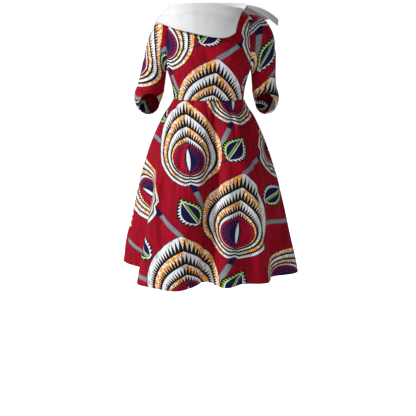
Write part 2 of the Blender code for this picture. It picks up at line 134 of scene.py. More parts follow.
SIDE_ROWS = [
    SideRow(-0.335, 0.1365),
    SideRow(-0.300, 0.1395),
    SideRow(-0.265, 0.1475),
    SideRow(-0.226, 0.1600),
]


class TorsoRow(NamedTuple):
    """Depth of the bodice before and behind its side seams at one height."""

    height: float
    front: float
    back: float


TORSO_ROWS = [
    TorsoRow(-0.335, 0.098, 0.089),
    TorsoRow(-0.300, 0.105, 0.092),
    TorsoRow(-0.265, 0.116, 0.098),
    TorsoRow(-0.226, 0.126, 0.106),
    TorsoRow(-0.190, 0.128, 0.111),
    TorsoRow(-0.150, 0.124, 0.114),
    TorsoRow(-0.110, 0.115, 0.112),
    TorsoRow(-0.070, 0.102, 0.105),
    TorsoRow(-0.040, 0.090, 0.092),
    TorsoRow(-0.018, 0.080, 0.074),
]


class SkirtRow(NamedTuple):
    """Size of the skirt before its folds at one height."""

    height: float
    half_width: float
    front: float
    back: float


SKIRT_ROWS_BY_HEIGHT = [
    SkirtRow(-0.335, 0.1365, 0.098, 0.089),
    SkirtRow(-0.360, 0.1490, 0.109, 0.101),
    SkirtRow(-0.400, 0.1760, 0.128, 0.124),
    SkirtRow(-0.445, 0.1990, 0.146, 0.145),
    SkirtRow(-0.512, 0.2280, 0.170, 0.170),
    SkirtRow(-0.574, 0.2490, 0.188, 0.190),
    SkirtRow(-0.633, 0.2680, 0.203, 0.206),
    SkirtRow(-0.692, 0.2830, 0.216, 0.220),
    SkirtRow(-0.794, 0.3070, 0.237, 0.242),
    SkirtRow(-0.874, 0.3240, 0.252, 0.258),
    SkirtRow(-0.935, 0.3390, 0.263, 0.269),
    SkirtRow(-1.018, 0.3560, 0.277, 0.283),
]


class Fold(NamedTuple):
    """One crest or valley of the skirt.

    Angles are in degrees, from the centre front towards the wearer's left. The radius is the reach
    of the hem from the dress's axis, start is the share of the skirt's length above which the fold
    has no depth, and height is the hem's level there.
    """

    waist_angle: float
    hem_angle: float
    radius: float
    start: float
    height: float


FOLDS = [
    Fold(-92.0, -95.0, 0.352, 0.10, -1.000),
    Fold(-66.0, -71.0, 0.258, 0.08, -1.007),
    Fold(-46.0, -48.0, 0.352, 0.12, -1.020),
    Fold(-20.0, -23.0, 0.326, 0.10, -1.022),
    Fold(14.0, -2.0, 0.210, 0.02, -1.015),
    Fold(28.0, 14.0, 0.284, 0.06, -1.018),
    Fold(40.0, 31.0, 0.260, 0.30, -1.019),
    Fold(50.0, 47.0, 0.314, 0.16, -1.018),
    Fold(64.0, 62.0, 0.284, 0.05, -1.020),
    Fold(84.0, 84.0, 0.364, 0.12, -1.026),
    Fold(104.0, 106.0, 0.292, 0.16, -1.021),
    Fold(124.0, 125.0, 0.334, 0.10, -1.018),
    Fold(142.0, 143.0, 0.256, 0.05, -1.014),
    Fold(158.0, 160.0, 0.310, 0.18, -1.018),
    Fold(176.0, 179.0, 0.238, 0.04, -1.015),
    Fold(196.0, 198.0, 0.312, 0.14, -1.019),
    Fold(214.0, 216.0, 0.254, 0.07, -1.013),
    Fold(232.0, 234.0, 0.330, 0.12, -1.014),
    Fold(250.0, 249.0, 0.296, 0.20, -1.006),
]


class ArmRow(NamedTuple):
    """One level ring of a sleeve above the elbow: its outer and inner points and its half depths."""

    outer_x: float
    outer_z: float
    inner_x: float
    inner_z: float
    front: float
    back: float


class ElbowRow(NamedTuple):
    """One ring round the bent elbow: degrees of bend, half width and half depths."""

    bend: float
    half_width: float
    front: float
    back: float


LEFT_ARM = [
    ArmRow(0.1750, -0.0190, 0.1606, -0.2278, 0.0590, 0.0640),
    ArmRow(0.1960, -0.0250, 0.1612, -0.2296, 0.0580, 0.0630),
    ArmRow(0.2150, -0.0385, 0.1618, -0.2318, 0.0570, 0.0610),
    ArmRow(0.2320, -0.0610, 0.1624, -0.2345, 0.0560, 0.0590),
    ArmRow(0.2465, -0.0900, 0.1630, -0.2380, 0.0545, 0.0570),
    ArmRow(0.2545, -0.1260, 0.1637, -0.2430, 0.0530, 0.0550),
    ArmRow(0.2580, -0.1680, 0.1645, -0.2510, 0.0515, 0.0535),
    ArmRow(0.2590, -0.2120, 0.1655, -0.2630, 0.0505, 0.0525),
    ArmRow(0.2590, -0.2530, 0.1665, -0.2770, 0.0500, 0.0520),
    ArmRow(0.2640, -0.2920, 0.1680, -0.2920, 0.0490, 0.0515),
]

LEFT_ELBOW = [
    ElbowRow(18.0, 0.0505, 0.0480, 0.0510),
    ElbowRow(36.0, 0.0500, 0.0460, 0.0500),
    ElbowRow(54.0, 0.0470, 0.0445, 0.0480),
    ElbowRow(69.0, 0.0435, 0.0430, 0.0435),
    ElbowRow(82.0, 0.0410, 0.0420, 0.0405),
]

RIGHT_ARM = [
    ArmRow(0.1710, -0.0250, 0.1606, -0.2278, 0.0590, 0.0640),
    ArmRow(0.1870, -0.0370, 0.1612, -0.2296, 0.0580, 0.0630),
    ArmRow(0.2025, -0.0520, 0.1618, -0.2318, 0.0570, 0.0610),
    ArmRow(0.2175, -0.0780, 0.1624, -0.2345, 0.0560, 0.0590),
    ArmRow(0.2310, -0.1080, 0.1630, -0.2380, 0.0545, 0.0570),
    ArmRow(0.2410, -0.1450, 0.1638, -0.2430, 0.0530, 0.0550),
    ArmRow(0.2505, -0.1850, 0.1650, -0.2510, 0.0520, 0.0540),
    ArmRow(0.2590, -0.2230, 0.1665, -0.2630, 0.0515, 0.0530),
    ArmRow(0.2690, -0.2600, 0.1685, -0.2770, 0.0510, 0.0525),
    ArmRow(0.2790, -0.2920, 0.1710, -0.2920, 0.0500, 0.0520),
]

RIGHT_ELBOW = [
    ElbowRow(18.0, 0.0565, 0.0490, 0.0520),
    ElbowRow(36.0, 0.0550, 0.0470, 0.0510),
    ElbowRow(54.0, 0.0505, 0.0450, 0.0485),
    ElbowRow(69.0, 0.0455, 0.0435, 0.0440),
    ElbowRow(82.0, 0.0420, 0.0425, 0.0405),
]


class CollarStation(NamedTuple):
    """One section across the collar.

    Angles are in degrees round the neckline, from the centre front towards the wearer's right. The
    fold is the collar's top line and the edge its free lower edge. Bulge is how far the fall
    stands out between them.
    """

    angle: float
    fold_x: float
    fold_y: float
    fold_z: float
    edge_x: float
    edge_y: float
    edge_z: float
    bulge: float


COLLAR_STATIONS = [
    CollarStation(-66.0, 0.1285, -0.0610, 0.0020, 0.0990, -0.1080, -0.0830, 0.0060),
    CollarStation(-58.0, 0.1100, -0.0710, 0.0060, 0.0790, -0.1150, -0.0945, 0.0075),
    CollarStation(-46.0, 0.0810, -0.0800, 0.0110, 0.0560, -0.1210, -0.1000, 0.0090),
    CollarStation(-30.0, 0.0470, -0.0860, 0.0150, 0.0300, -0.1250, -0.0995, 0.0095),
    CollarStation(-8.0, 0.0120, -0.0885, 0.0185, 0.0020, -0.1270, -0.0955, 0.0095),
    CollarStation(16.0, -0.0260, -0.0880, 0.0205, -0.0280, -0.1260, -0.0895, 0.0095),
    CollarStation(40.0, -0.0720, -0.0815, 0.0210, -0.0700, -0.1200, -0.0800, 0.0095),
    CollarStation(60.0, -0.1180, -0.0610, 0.0190, -0.1280, -0.0990, -0.0665, 0.0060),
    CollarStation(76.0, -0.1430, -0.0300, 0.0160, -0.1800, -0.0560, -0.0480, 0.0030),
    CollarStation(90.0, -0.1470, 0.0000, 0.0150, -0.2030, 0.0000, -0.0400, 0.0005),
    CollarStation(104.0, -0.1430, 0.0300, 0.0165, -0.1860, 0.0550, -0.0470, 0.0030),
    CollarStation(122.0, -0.1190, 0.0580, 0.0195, -0.1400, 0.0980, -0.0640, 0.0065),
    CollarStation(144.0, -0.0720, 0.0760, 0.0225, -0.0820, 0.1220, -0.0770, 0.0095),
    CollarStation(166.0, -0.0250, 0.0820, 0.0240, -0.0300, 0.1310, -0.0830, 0.0095),
    CollarStation(190.0, 0.0220, 0.0830, 0.0245, 0.0260, 0.1320, -0.0830, 0.0095),
    CollarStation(212.0, 0.0640, 0.0790, 0.0240, 0.0850, 0.1290, -0.0770, 0.0100),
    CollarStation(232.0, 0.1060, 0.0670, 0.0230, 0.1520, 0.1150, -0.0610, 0.0120),
    CollarStation(246.0, 0.1330, 0.0490, 0.0215, 0.2240, 0.0930, -0.0380, 0.0140),
    CollarStation(256.0, 0.1430, 0.0330, 0.0185, 0.2670, 0.0640, -0.0350, 0.0110),
    CollarStation(264.0, 0.1450, 0.0180, 0.0130, 0.2660, 0.0350, -0.0610, 0.0060),
]


class Crease(NamedTuple):
    """One soft line in a piece of cloth, a ridge where its height is above zero.

    Both ends are places on the flat piece, in metres from the middle of its top edge. Bow is how
    far the line bends to the side halfway, spread its half width.
    """

    start_u: float
    start_v: float
    end_u: float
    end_v: float
    bow: float
    spread: float
    height: float


# Creases: start u, v, end u, v, bow, spread, height. A bodice begins with its waist darts, the front one
# goes on with its bust darts, and a piece of the skirt begins with its wide troughs and ridges
FRONT_BODICE_CREASES = [
    Crease(-0.076, -0.334, -0.080, -0.222, 0.003, 0.0035, -0.0014),
    Crease(0.076, -0.334, 0.080, -0.222, -0.003, 0.0035, -0.0014),
    Crease(-0.150, -0.235, -0.096, -0.205, 0.002, 0.0035, -0.0012),
    Crease(0.150, -0.235, 0.096, -0.205, -0.002, 0.0035, -0.0012),
    Crease(-0.134, -0.118, -0.052, -0.176, 0.010, 0.0110, -0.0039),
    Crease(0.132, -0.112, 0.058, -0.172, -0.012, 0.0110, -0.0036),
    Crease(-0.140, -0.165, -0.070, -0.214, 0.008, 0.0080, -0.0027),
    Crease(0.142, -0.170, 0.082, -0.226, -0.006, 0.0080, -0.0029),
    Crease(-0.158, -0.290, -0.060, -0.268, -0.006, 0.0070, -0.0030),
    Crease(0.160, -0.286, 0.048, -0.262, 0.007, 0.0075, -0.0032),
    Crease(-0.162, -0.316, -0.088, -0.304, 0.004, 0.0055, -0.0024),
    Crease(0.160, -0.312, 0.092, -0.298, -0.004, 0.0055, -0.0025),
    Crease(-0.034, -0.306, 0.042, -0.316, 0.005, 0.0065, -0.0019),
    Crease(-0.016, -0.140, 0.020, -0.246, 0.006, 0.0140, -0.0027),
]
BACK_BODICE_CREASES = [
    Crease(-0.070, -0.334, -0.074, -0.190, 0.002, 0.0035, -0.0013),
    Crease(0.070, -0.334, 0.074, -0.190, -0.002, 0.0035, -0.0013),
    Crease(-0.150, -0.120, -0.066, -0.160, 0.008, 0.0100, -0.0033),
    Crease(0.150, -0.116, 0.060, -0.154, -0.009, 0.0100, -0.0033),
    Crease(-0.148, -0.192, -0.050, -0.226, 0.008, 0.0085, -0.0033),
    Crease(0.150, -0.198, 0.044, -0.236, -0.008, 0.0085, -0.0034),
    Crease(-0.156, -0.276, -0.020, -0.290, -0.007, 0.0070, -0.0036),
    Crease(0.152, -0.268, 0.026, -0.284, 0.008, 0.0070, -0.0034),
    Crease(-0.140, -0.312, -0.030, -0.306, 0.004, 0.0055, -0.0027),
    Crease(0.136, -0.306, 0.032, -0.312, -0.005, 0.0055, -0.0029),
]
SKIRT_FRONT_CREASES = [
    Crease(0.030, -0.020, -0.024, -0.700, 0.000, 0.0200, -0.0170),
    Crease(-0.020, -0.120, -0.076, -0.700, 0.004, 0.0240, 0.0070),
    Crease(0.130, -0.050, 0.300, -0.700, 0.010, 0.0195, -0.0170),
    Crease(0.100, -0.160, 0.238, -0.700, 0.008, 0.0250, 0.0070),
    Crease(-0.150, -0.140, -0.226, -0.700, -0.008, 0.0190, -0.0125),
    Crease(-0.172, -0.004, -0.318, -0.250, 0.016, 0.0090, -0.0076),
    Crease(-0.128, -0.002, -0.170, -0.190, -0.010, 0.0075, -0.0061),
    Crease(-0.092, -0.004, -0.128, -0.320, 0.014, 0.0100, -0.0072),
    Crease(-0.052, -0.002, -0.064, -0.150, -0.006, 0.0065, -0.0050),
    Crease(-0.014, -0.002, 0.006, -0.220, 0.010, 0.0080, -0.0058),
    Crease(0.026, -0.004, 0.044, -0.410, -0.016, 0.0110, -0.0090),
    Crease(0.068, -0.002, 0.104, -0.170, 0.008, 0.0070, -0.0058),
    Crease(0.104, -0.004, 0.176, -0.340, 0.014, 0.0095, -0.0079),
    Crease(0.142, -0.002, 0.214, -0.200, -0.010, 0.0075, -0.0061),
    Crease(0.168, -0.006, 0.300, -0.300, 0.014, 0.0090, -0.0072),
    Crease(-0.300, -0.330, -0.352, -0.640, 0.014, 0.0120, -0.0061),
    Crease(-0.196, -0.420, -0.214, -0.690, -0.012, 0.0130, 0.0054),
    Crease(0.236, -0.420, 0.262, -0.690, 0.012, 0.0120, -0.0058),
    Crease(0.370, -0.380, 0.430, -0.660, -0.014, 0.0130, -0.0061),
    Crease(-0.452, -0.460, -0.510, -0.690, 0.010, 0.0120, -0.0054),
]
SKIRT_LEFT_CREASES = [
    Crease(-0.070, -0.060, -0.170, -0.700, 0.008, 0.0200, -0.0150),
    Crease(-0.150, -0.150, -0.410, -0.690, -0.010, 0.0240, -0.0095),
    Crease(-0.026, -0.002, -0.046, -0.280, 0.012, 0.0085, -0.0065),
    Crease(-0.062, -0.002, -0.118, -0.180, -0.008, 0.0070, -0.0058),
    Crease(-0.094, -0.004, -0.182, -0.330, 0.014, 0.0095, -0.0072),
    Crease(-0.128, -0.002, -0.250, -0.230, -0.010, 0.0080, -0.0061),
    Crease(-0.150, -0.006, -0.330, -0.400, 0.014, 0.0100, -0.0065),
    Crease(-0.090, -0.420, -0.108, -0.680, 0.010, 0.0125, -0.0058),
    Crease(-0.300, -0.460, -0.352, -0.690, -0.012, 0.0125, 0.0054),
    Crease(-0.460, -0.420, -0.520, -0.670, 0.010, 0.0120, -0.0054),
]
SKIRT_RIGHT_CREASES = [
    Crease(0.078, -0.050, 0.236, -0.700, -0.008, 0.0200, -0.0150),
    Crease(0.146, -0.130, 0.440, -0.690, 0.010, 0.0240, -0.0090),
    Crease(0.030, -0.002, 0.052, -0.220, -0.010, 0.0080, -0.0061),
    Crease(0.060, -0.004, 0.128, -0.350, 0.012, 0.0095, -0.0072),
    Crease(0.096, -0.002, 0.176, -0.200, 0.008, 0.0070, -0.0058),
    Crease(0.124, -0.004, 0.256, -0.310, -0.012, 0.0090, -0.0068),
    Crease(0.154, -0.004, 0.322, -0.260, 0.010, 0.0080, -0.0061),
    Crease(0.140, -0.450, 0.168, -0.690, -0.012, 0.0125, -0.0058),
    Crease(0.330, -0.400, 0.396, -0.670, 0.012, 0.0130, -0.0058),
    Crease(0.480, -0.460, 0.528, -0.680, -0.010, 0.0120, 0.0050),
]
LEFT_SLEEVE_CREASES = [
    Crease(-0.132, -0.232, -0.046, -0.212, 0.007, 0.0065, -0.0023),
    Crease(-0.136, -0.252, -0.030, -0.248, -0.006, 0.0060, -0.0025),
    Crease(-0.124, -0.272, -0.036, -0.284, 0.006, 0.0060, -0.0024),
    Crease(-0.112, -0.290, -0.050, -0.316, 0.005, 0.0055, -0.0019),
    Crease(-0.030, -0.225, 0.026, -0.190, 0.006, 0.0080, -0.0030),
    Crease(-0.142, -0.130, -0.072, -0.086, 0.010, 0.0085, -0.0038),
    Crease(-0.146, -0.162, -0.084, -0.140, 0.007, 0.0075, -0.0032),
    Crease(-0.036, -0.070, -0.024, -0.170, 0.006, 0.0120, -0.0027),
    Crease(0.140, -0.136, 0.070, -0.098, -0.010, 0.0090, -0.0035),
    Crease(0.144, -0.250, 0.050, -0.232, -0.007, 0.0075, -0.0035),
    Crease(0.132, -0.296, 0.056, -0.324, -0.006, 0.0075, -0.0030),
]
RIGHT_SLEEVE_CREASES = [
    Crease(0.132, -0.226, 0.050, -0.206, -0.007, 0.0065, -0.0023),
    Crease(0.134, -0.248, 0.028, -0.240, 0.007, 0.0060, -0.0025),
    Crease(0.122, -0.270, 0.034, -0.280, -0.006, 0.0060, -0.0024),
    Crease(0.110, -0.288, 0.052, -0.310, -0.005, 0.0055, -0.0019),
    Crease(0.024, -0.236, -0.030, -0.200, -0.006, 0.0085, -0.0030),
    Crease(0.140, -0.122, 0.074, -0.082, -0.010, 0.0085, -0.0036),
    Crease(0.144, -0.158, 0.086, -0.134, -0.007, 0.0075, -0.0032),
    Crease(0.040, -0.076, 0.022, -0.180, -0.007, 0.0120, -0.0026),
    Crease(-0.138, -0.130, -0.066, -0.094, 0.010, 0.0090, -0.0035),
    Crease(-0.142, -0.244, -0.046, -0.226, 0.007, 0.0075, -0.0034),
    Crease(-0.130, -0.292, -0.060, -0.318, 0.006, 0.0075, -0.0030),
]
COLLAR_CREASES = [
    Crease(0.020, 0.066, 0.330, 0.072, 0.004, 0.0100, -0.0036),
    Crease(0.040, 0.080, 0.190, 0.110, 0.010, 0.0150, 0.0021),
    Crease(0.210, 0.120, 0.330, 0.070, 0.010, 0.0140, -0.0021),
    Crease(0.470, 0.060, 0.500, 0.130, 0.004, 0.0110, -0.0021),
    Crease(0.600, 0.070, 0.660, 0.132, 0.006, 0.0130, 0.0021),
    Crease(0.800, 0.060, 0.850, 0.140, 0.008, 0.0110, -0.0027),
    Crease(0.880, 0.050, 0.900, 0.130, 0.006, 0.0080, -0.0024),
]

# Curves, grids and shells

# Steepest slope of a curve through the rows of a grid, in gaps between rows
STEEPEST_SLOPE = 1.7


def read_column(
    rows: Sequence[NamedTuple], key: str, column: str, places: FloatArray | float
) -> FloatArray:
    """Read one column of a table at given places, along a smooth curve through its rows.

    Between two rows the value follows the cubic that has the table's own slopes at both of them.

    Args:
        rows: The table.
        key: Name of the column that the places are given in.
        column: Name of the column to read.
        places: Where to read it.

    Returns:
        The values, one for each place.
    """
    keys = np.array([getattr(row, key) for row in rows])
    values = np.array([getattr(row, column) for row in rows])
    if keys[0] > keys[-1]:
        keys = keys[::-1]
        values = values[::-1]
    slopes = np.gradient(values, keys)
    places = np.clip(places, keys[0], keys[-1])
    index = np.clip(np.searchsorted(keys, places) - 1, 0, len(keys) - 2)
    span = keys[index + 1] - keys[index]
    share = (places - keys[index]) / span
    rise = share * share * (3.0 - 2.0 * share)
    start_curve = share * (1.0 - share) ** 2
    end_curve = share * share * (share - 1.0)
    level = values[index] * (1.0 - rise) + values[index + 1] * rise
    return level + span * (slopes[index] * start_curve + slopes[index + 1] * end_curve)


def ring_radius(
    angle: FloatArray,
    half_width: FloatArray | float,
    depth: FloatArray | float,
    squareness: float = SQUARENESS,
) -> FloatArray:
    """Radius of a superellipse at a polar angle measured from the front.

    The shares of the radius across and along, each raised to the squareness, add up to one.
    """
    across = np.abs(np.sin(angle) / half_width) ** squareness
    along = np.abs(np.cos(angle) / depth) ** squareness
    return (across + along) ** (-1.0 / squareness)


def finer_rows(knots: FloatArray, steps: int) -> FloatArray:
    """Put more rows between the rows of a grid, on smooth curves through them.

    Between two knots a point follows the cubic whose end slopes are half the chord between each
    knot's neighbours, but no steeper than a set share of the shorter gap beside it, so that no row
    runs back past its neighbour. The end knots take the slope of their only chord.

    Args:
        knots: Array whose first axis is the rows.
        steps: Rows made from each gap.

    Returns:
        The finer array, with every knot still in it.
    """
    slopes = np.gradient(knots, axis=0)
    gaps = np.linalg.norm(np.diff(knots, axis=0), axis=-1, keepdims=True)
    shorter = np.concatenate([gaps[:1], np.minimum(gaps[:-1], gaps[1:]), gaps[-1:]])
    steepness = np.linalg.norm(slopes, axis=-1, keepdims=True)
    slopes = slopes * np.minimum(1.0, STEEPEST_SLOPE * shorter / np.maximum(steepness, 1e-9))
    share = (np.arange(steps) / steps).reshape(1, steps, *([1] * (knots.ndim - 1)))
    low, high = knots[:-1, None], knots[1:, None]
    rise = share * share * (3.0 - 2.0 * share)
    between = low * (1.0 - rise) + high * rise
    between = between + slopes[:-1, None] * share * (1.0 - share) ** 2
    between = between + slopes[1:, None] * share * share * (share - 1.0)
    fine = between.reshape(-1, *knots.shape[1:])
    return np.concatenate([fine, knots[-1:]])


def grid_normals(points: FloatArray, wrap: bool) -> FloatArray:
    """Unit normals of a grid: the way along its columns crossed with the way up its rows."""
    if wrap:
        ring = points[:, :-1]
        along = np.roll(ring, -1, axis=1) - np.roll(ring, 1, axis=1)
        along = np.concatenate([along, along[:, :1]], axis=1)
    else:
        along = np.gradient(points, axis=1)
    normals = np.cross(along, np.gradient(points, axis=0))
    return normals / np.linalg.norm(normals, axis=2, keepdims=True)


def lengths_along(points: FloatArray, axis: int) -> FloatArray:
    """Length walked along one axis of a grid, from its first line to each point."""
    steps = np.linalg.norm(np.diff(points, axis=axis), axis=2)
    walked = np.cumsum(steps, axis=axis)
    start = np.zeros_like(np.take(walked, [0], axis=axis))
    return np.concatenate([start, walked], axis=axis)


class Swing(NamedTuple):
    """Wave along a crease: its size, its radians over the crease and its shift from crease to crease."""

    size: float
    radians: float
    shift: float


HEIGHT_SWINGS = (Swing(0.22, 7.0, 1.0), Swing(0.12, 17.0, 2.0))
WIDTH_SWINGS = (Swing(0.25, 5.0, 1.7),)

# A crease fades as half a sine wave does between these shares of it, and beyond its ends over its
# spread times the reach
FADE_START = 0.12
FADE_SPAN = 0.76
FADE_REACH = 1.5


def swung(swings: Sequence[Swing], along: FloatArray, number: int) -> FloatArray:
    """One, with all the waves of a crease added to it."""
    waves = (swing.size * np.sin(swing.radians * along + swing.shift * number) for swing in swings)
    return sum(waves, start=1.0)


def crease_height(creases: Sequence[Crease], u: FloatArray, v: FloatArray) -> FloatArray:
    """Height that a list of creases adds at places of the flat cloth.

    Across its line a crease is a bell curve. Along the line it swells and thins a little, and it
    dies away beyond both ends.
    """
    total = np.zeros_like(u)
    for number, crease in enumerate(creases):
        line = np.array([crease.end_u - crease.start_u, crease.end_v - crease.start_v])
        length = float(np.hypot(*line))
        way = line / length
        off_u, off_v = u - crease.start_u, v - crease.start_v
        share = (off_u * way[0] + off_v * way[1]) / length
        inside = np.clip(share, 0.0, 1.0)
        aside = off_v * way[0] - off_u * way[1] - crease.bow * 4.0 * inside * (1.0 - inside)
        beyond = (share - inside) * length
        swell = swung(HEIGHT_SWINGS, inside, number)
        spread = crease.spread * swung(WIDTH_SWINGS, inside, number)
        fade = np.sin(math.pi * np.clip(FADE_START + FADE_SPAN * inside, 0.0, 1.0))
        bell = np.exp(-((aside / spread) ** 2) - (beyond / (FADE_REACH * crease.spread)) ** 2)
        total = total + crease.height * swell * fade * bell
    return total


# Worn cotton: the weight of each wave, and its two crossing sines as radians by u, by v and a shift
HAND_WAVES = (
    (1.0, (23.0, 9.0, 0.6), (-6.0, 17.0, 0.0)),
    (0.6, (41.0, -13.0, 2.1), (0.0, 29.0, 0.4)),
)


def hand_of_cloth(u: FloatArray, v: FloatArray, height: float) -> FloatArray:
    """Slight unevenness of worn cotton: a few long waves that cross each other on the flat cloth."""
    total = np.zeros_like(u)
    for weight, *sines in HAND_WAVES:
        wave = np.full_like(u, weight)
        for by_u, by_v, shift in sines:
            wave = wave * np.sin(by_u * u + by_v * v + shift)
        total = total + wave
    return height * total


def seam_groove(distance: FloatArray) -> FloatArray:
    """Slight hollow along a seam, by the distance from it."""
    return -SEAM_GROOVE * np.exp(-((distance / SEAM_SPREAD) ** 2))


def hem_thickness(plain: float, depth: float, distance: FloatArray) -> FloatArray:
    """Thickness of cloth whose edge is turned up this deep, by the distance from the edge."""
    turned = np.clip((depth - distance) / HEM_STEP, 0.0, 1.0)
    return plain * (1.0 + HEM_FULLNESS * turned)


@dataclass
class Cloth:
    """A piece of cloth as a grid.

    Attributes:
        points: Outer face, rows by columns by three. A tube repeats its first column at the end.
        flat: Place on the flat piece beside each point, in metres, rows by columns by two.
        wrap: True where the columns close into a tube.
    """

    points: FloatArray
    flat: FloatArray
    wrap: bool = False

    def raised(self, height: FloatArray) -> Cloth:
        """The same cloth with every point moved outwards by its own height."""
        normals = grid_normals(self.points, self.wrap)
        return Cloth(self.points + height[..., None] * normals, self.flat, self.wrap)


@dataclass(frozen=True)
class Edges:
    """Which edges of a shell are free and rounded; the others are flat, where a seam joins them."""

    bottom: bool = False
    top: bool = False
    start: bool = False
    end: bool = False


class ShellBuilder:
    """Makes a closed thin shell from a grid of cloth: two faces and a strip round the edges."""

    ROUNDING = 0.45

    def __init__(
        self, cloth: Cloth, thickness: FloatArray, edges: Edges, walls: tuple[tuple[int, int], ...] = ()
    ) -> None:
        """Work out both faces.

        Args:
            cloth: The outer face.
            thickness: Thickness of the cloth at each point.
            edges: The free edges.
            walls: Seam planes through the middle that the piece stays beside, each as its axis and
                the side that the piece is on.
        """
        self.cloth = cloth
        self.walls = walls
        inwards = thickness[..., None] * grid_normals(cloth.points, cloth.wrap)
        self.outer = self._beside_walls(cloth.points)
        self.inner = self._beside_walls(cloth.points - inwards)
        self.thickness = thickness
        self.edges = edges
        rows, columns = cloth.points.shape[:2]
        kept = columns - 1 if cloth.wrap else columns
        ids = np.arange(rows * kept).reshape(rows, kept)
        self.kept = kept
        self.ids = np.concatenate([ids, ids[:, :1]], axis=1) if cloth.wrap else ids
        self.vertices = [self.outer[:, :kept].reshape(-1, 3), self.inner[:, :kept].reshape(-1, 3)]
        self.count = 2 * rows * kept
        self.faces: list[IntArray] = []
        self.places: list[FloatArray] = []

    def _beside_walls(self, points: FloatArray) -> FloatArray:
        """Points kept half a seam's gap from every wall, on the piece's own side."""
        points = points.copy()
        for axis, side in self.walls:
            points[..., axis] = side * np.maximum(side * points[..., axis], SEAM_GAP / 2.0)
        return points

    def _add(self, corners: list[IntArray], flats: list[FloatArray]) -> None:
        """Add quads given by their four corners and the flat places there."""
        self.faces.append(np.stack([corner.ravel() for corner in corners], axis=1))
        self.places.append(np.stack([flat.reshape(-1, 2) for flat in flats], axis=1))

    def _add_faces(self) -> None:
        """Add the outer and the inner face."""
        flat = self.cloth.flat
        ids = self.ids
        corners = [ids[:-1, :-1], ids[:-1, 1:], ids[1:, 1:], ids[1:, :-1]]
        flats = [flat[:-1, :-1], flat[:-1, 1:], flat[1:, 1:], flat[1:, :-1]]
        self._add(corners, flats)
        half = self.count // 2
        self._add([corner + half for corner in corners[::-1]], flats[::-1])

    def _rims(self) -> list[tuple[bool, tuple, tuple, bool]]:
        """Every rim: whether it is free, its index, its neighbour's, and whether it runs forward."""
        whole = slice(None)
        rims = [
            (self.edges.bottom, (0, whole), (1, whole), False),
            (self.edges.top, (-1, whole), (-2, whole), True),
        ]
        if not self.cloth.wrap:
            rims.append((self.edges.start, (whole, 0), (whole, 1), True))
            rims.append((self.edges.end, (whole, -1), (whole, -2), False))
        return rims

    def _rim_ids(self) -> IntArray:
        """Add points halfway between the faces all round, which stand out at free edges."""
        middle = (self.outer + self.inner) / 2.0
        on_rim = np.zeros(self.ids.shape, dtype=bool)
        for free, line, inside, _ in self._rims():
            on_rim[line] = True
            way = self.outer[line] - self.outer[inside]
            way = way / np.linalg.norm(way, axis=1, keepdims=True)
            middle[line] += free * self.ROUNDING * self.thickness[line][:, None] * way
        kept = on_rim[:, : self.kept]
        ids = np.full(kept.shape, -1)
        ids[kept] = self.count + np.arange(kept.sum())
        self.vertices.append(self._beside_walls(middle[:, : self.kept][kept]))
        return np.concatenate([ids, ids[:, :1]], axis=1) if self.cloth.wrap else ids

    def _add_strips(self) -> None:
        """Close every rim between the faces, in two strips that meet on its middle points."""
        rim_ids = self._rim_ids()
        behind = self.vertices[0].shape[0]
        for _, line, _, forward in self._rims():
            flat = self.cloth.flat[line]
            chain = [self.ids[line], rim_ids[line], self.ids[line] + behind]
            for first, second in zip(chain[:-1], chain[1:]):
                corners = [first[:-1], first[1:], second[1:], second[:-1]]
                flats = [flat[:-1], flat[1:], flat[1:], flat[:-1]]
                if not forward:
                    corners, flats = corners[::-1], flats[::-1]
                self._add(corners, flats)

    def build(self, name: str, material: bpy.types.Material) -> bpy.types.Object:
        """Make the shell's object, with its flat places as its UV map.

        Args:
            name: The object's name.
            material: Its finish.

        Returns:
            The new object, at the origin.
        """
        self._add_faces()
        self._add_strips()
        return mesh_object(
            name,
            np.concatenate(self.vertices),
            np.concatenate(self.faces),
            np.concatenate(self.places).reshape(-1, 2),
            material,
        )


def mesh_object(
    name: str,
    vertices: FloatArray,
    quads: IntArray,
    places: FloatArray,
    material: bpy.types.Material,
) -> bpy.types.Object:
    """Make a smooth object from arrays of points, quads and flat places of the quads' corners."""
    mesh = bpy.data.meshes.new(name)
    mesh.from_pydata(vertices.tolist(), [], quads.tolist())
    layer = mesh.uv_layers.new(name=CLOTH_MAP)
    layer.data.foreach_set("uv", places.astype(np.float32).ravel())
    mesh.materials.append(material)
    mesh.shade_smooth()
    mesh.update()
    item = bpy.data.objects.new(name, mesh)
    bpy.context.scene.collection.objects.link(item)
    return item


class Spot(NamedTuple):
    """Place on the flat cloth, in metres outwards and up."""

    u: float
    v: float


# Where each piece is cut from the printed cloth: the place of its own flat origin on the repeat
FRONT_BODICE_CUT = Spot(0.078, 0.385)
BACK_BODICE_CUT = Spot(0.300, 0.264)
SKIRT_FRONT_CUT = Spot(-0.014, 0.4976)
SKIRT_BACK_CUT = Spot(0.240, 0.420)
LEFT_SLEEVE_CUT = Spot(0.1247, -0.0060)
RIGHT_SLEEVE_CUT = Spot(-0.0581, 0.4976)


def line_beside(cloth: Cloth, rim: Rim, distance: float) -> FloatArray:
    """Points and normals of the line that runs beside an edge, a set distance in from it.

    Args:
        cloth: The cloth.
        rim: The edge.
        distance: How far in the line lies, measured on the cloth.

    Returns:
        A row of three coordinates and three parts of the normal for every step of the line.
    """
    data = np.concatenate([cloth.points, grid_normals(cloth.points, cloth.wrap)], axis=2)
    if rim in (Rim.START, Rim.END):
        data = data.transpose(1, 0, 2)
    if rim in (Rim.TOP, Rim.END):
        data = data[::-1]
    walked = lengths_along(data[..., :3], 0)
    columns = np.arange(data.shape[1])
    low = np.clip((walked < distance).sum(axis=0) - 1, 0, len(data) - 2)
    share = (distance - walked[low, columns]) / (walked[low + 1, columns] - walked[low, columns])
    share = share[:, None]
    return data[low, columns] * (1.0 - share) + data[low + 1, columns] * share


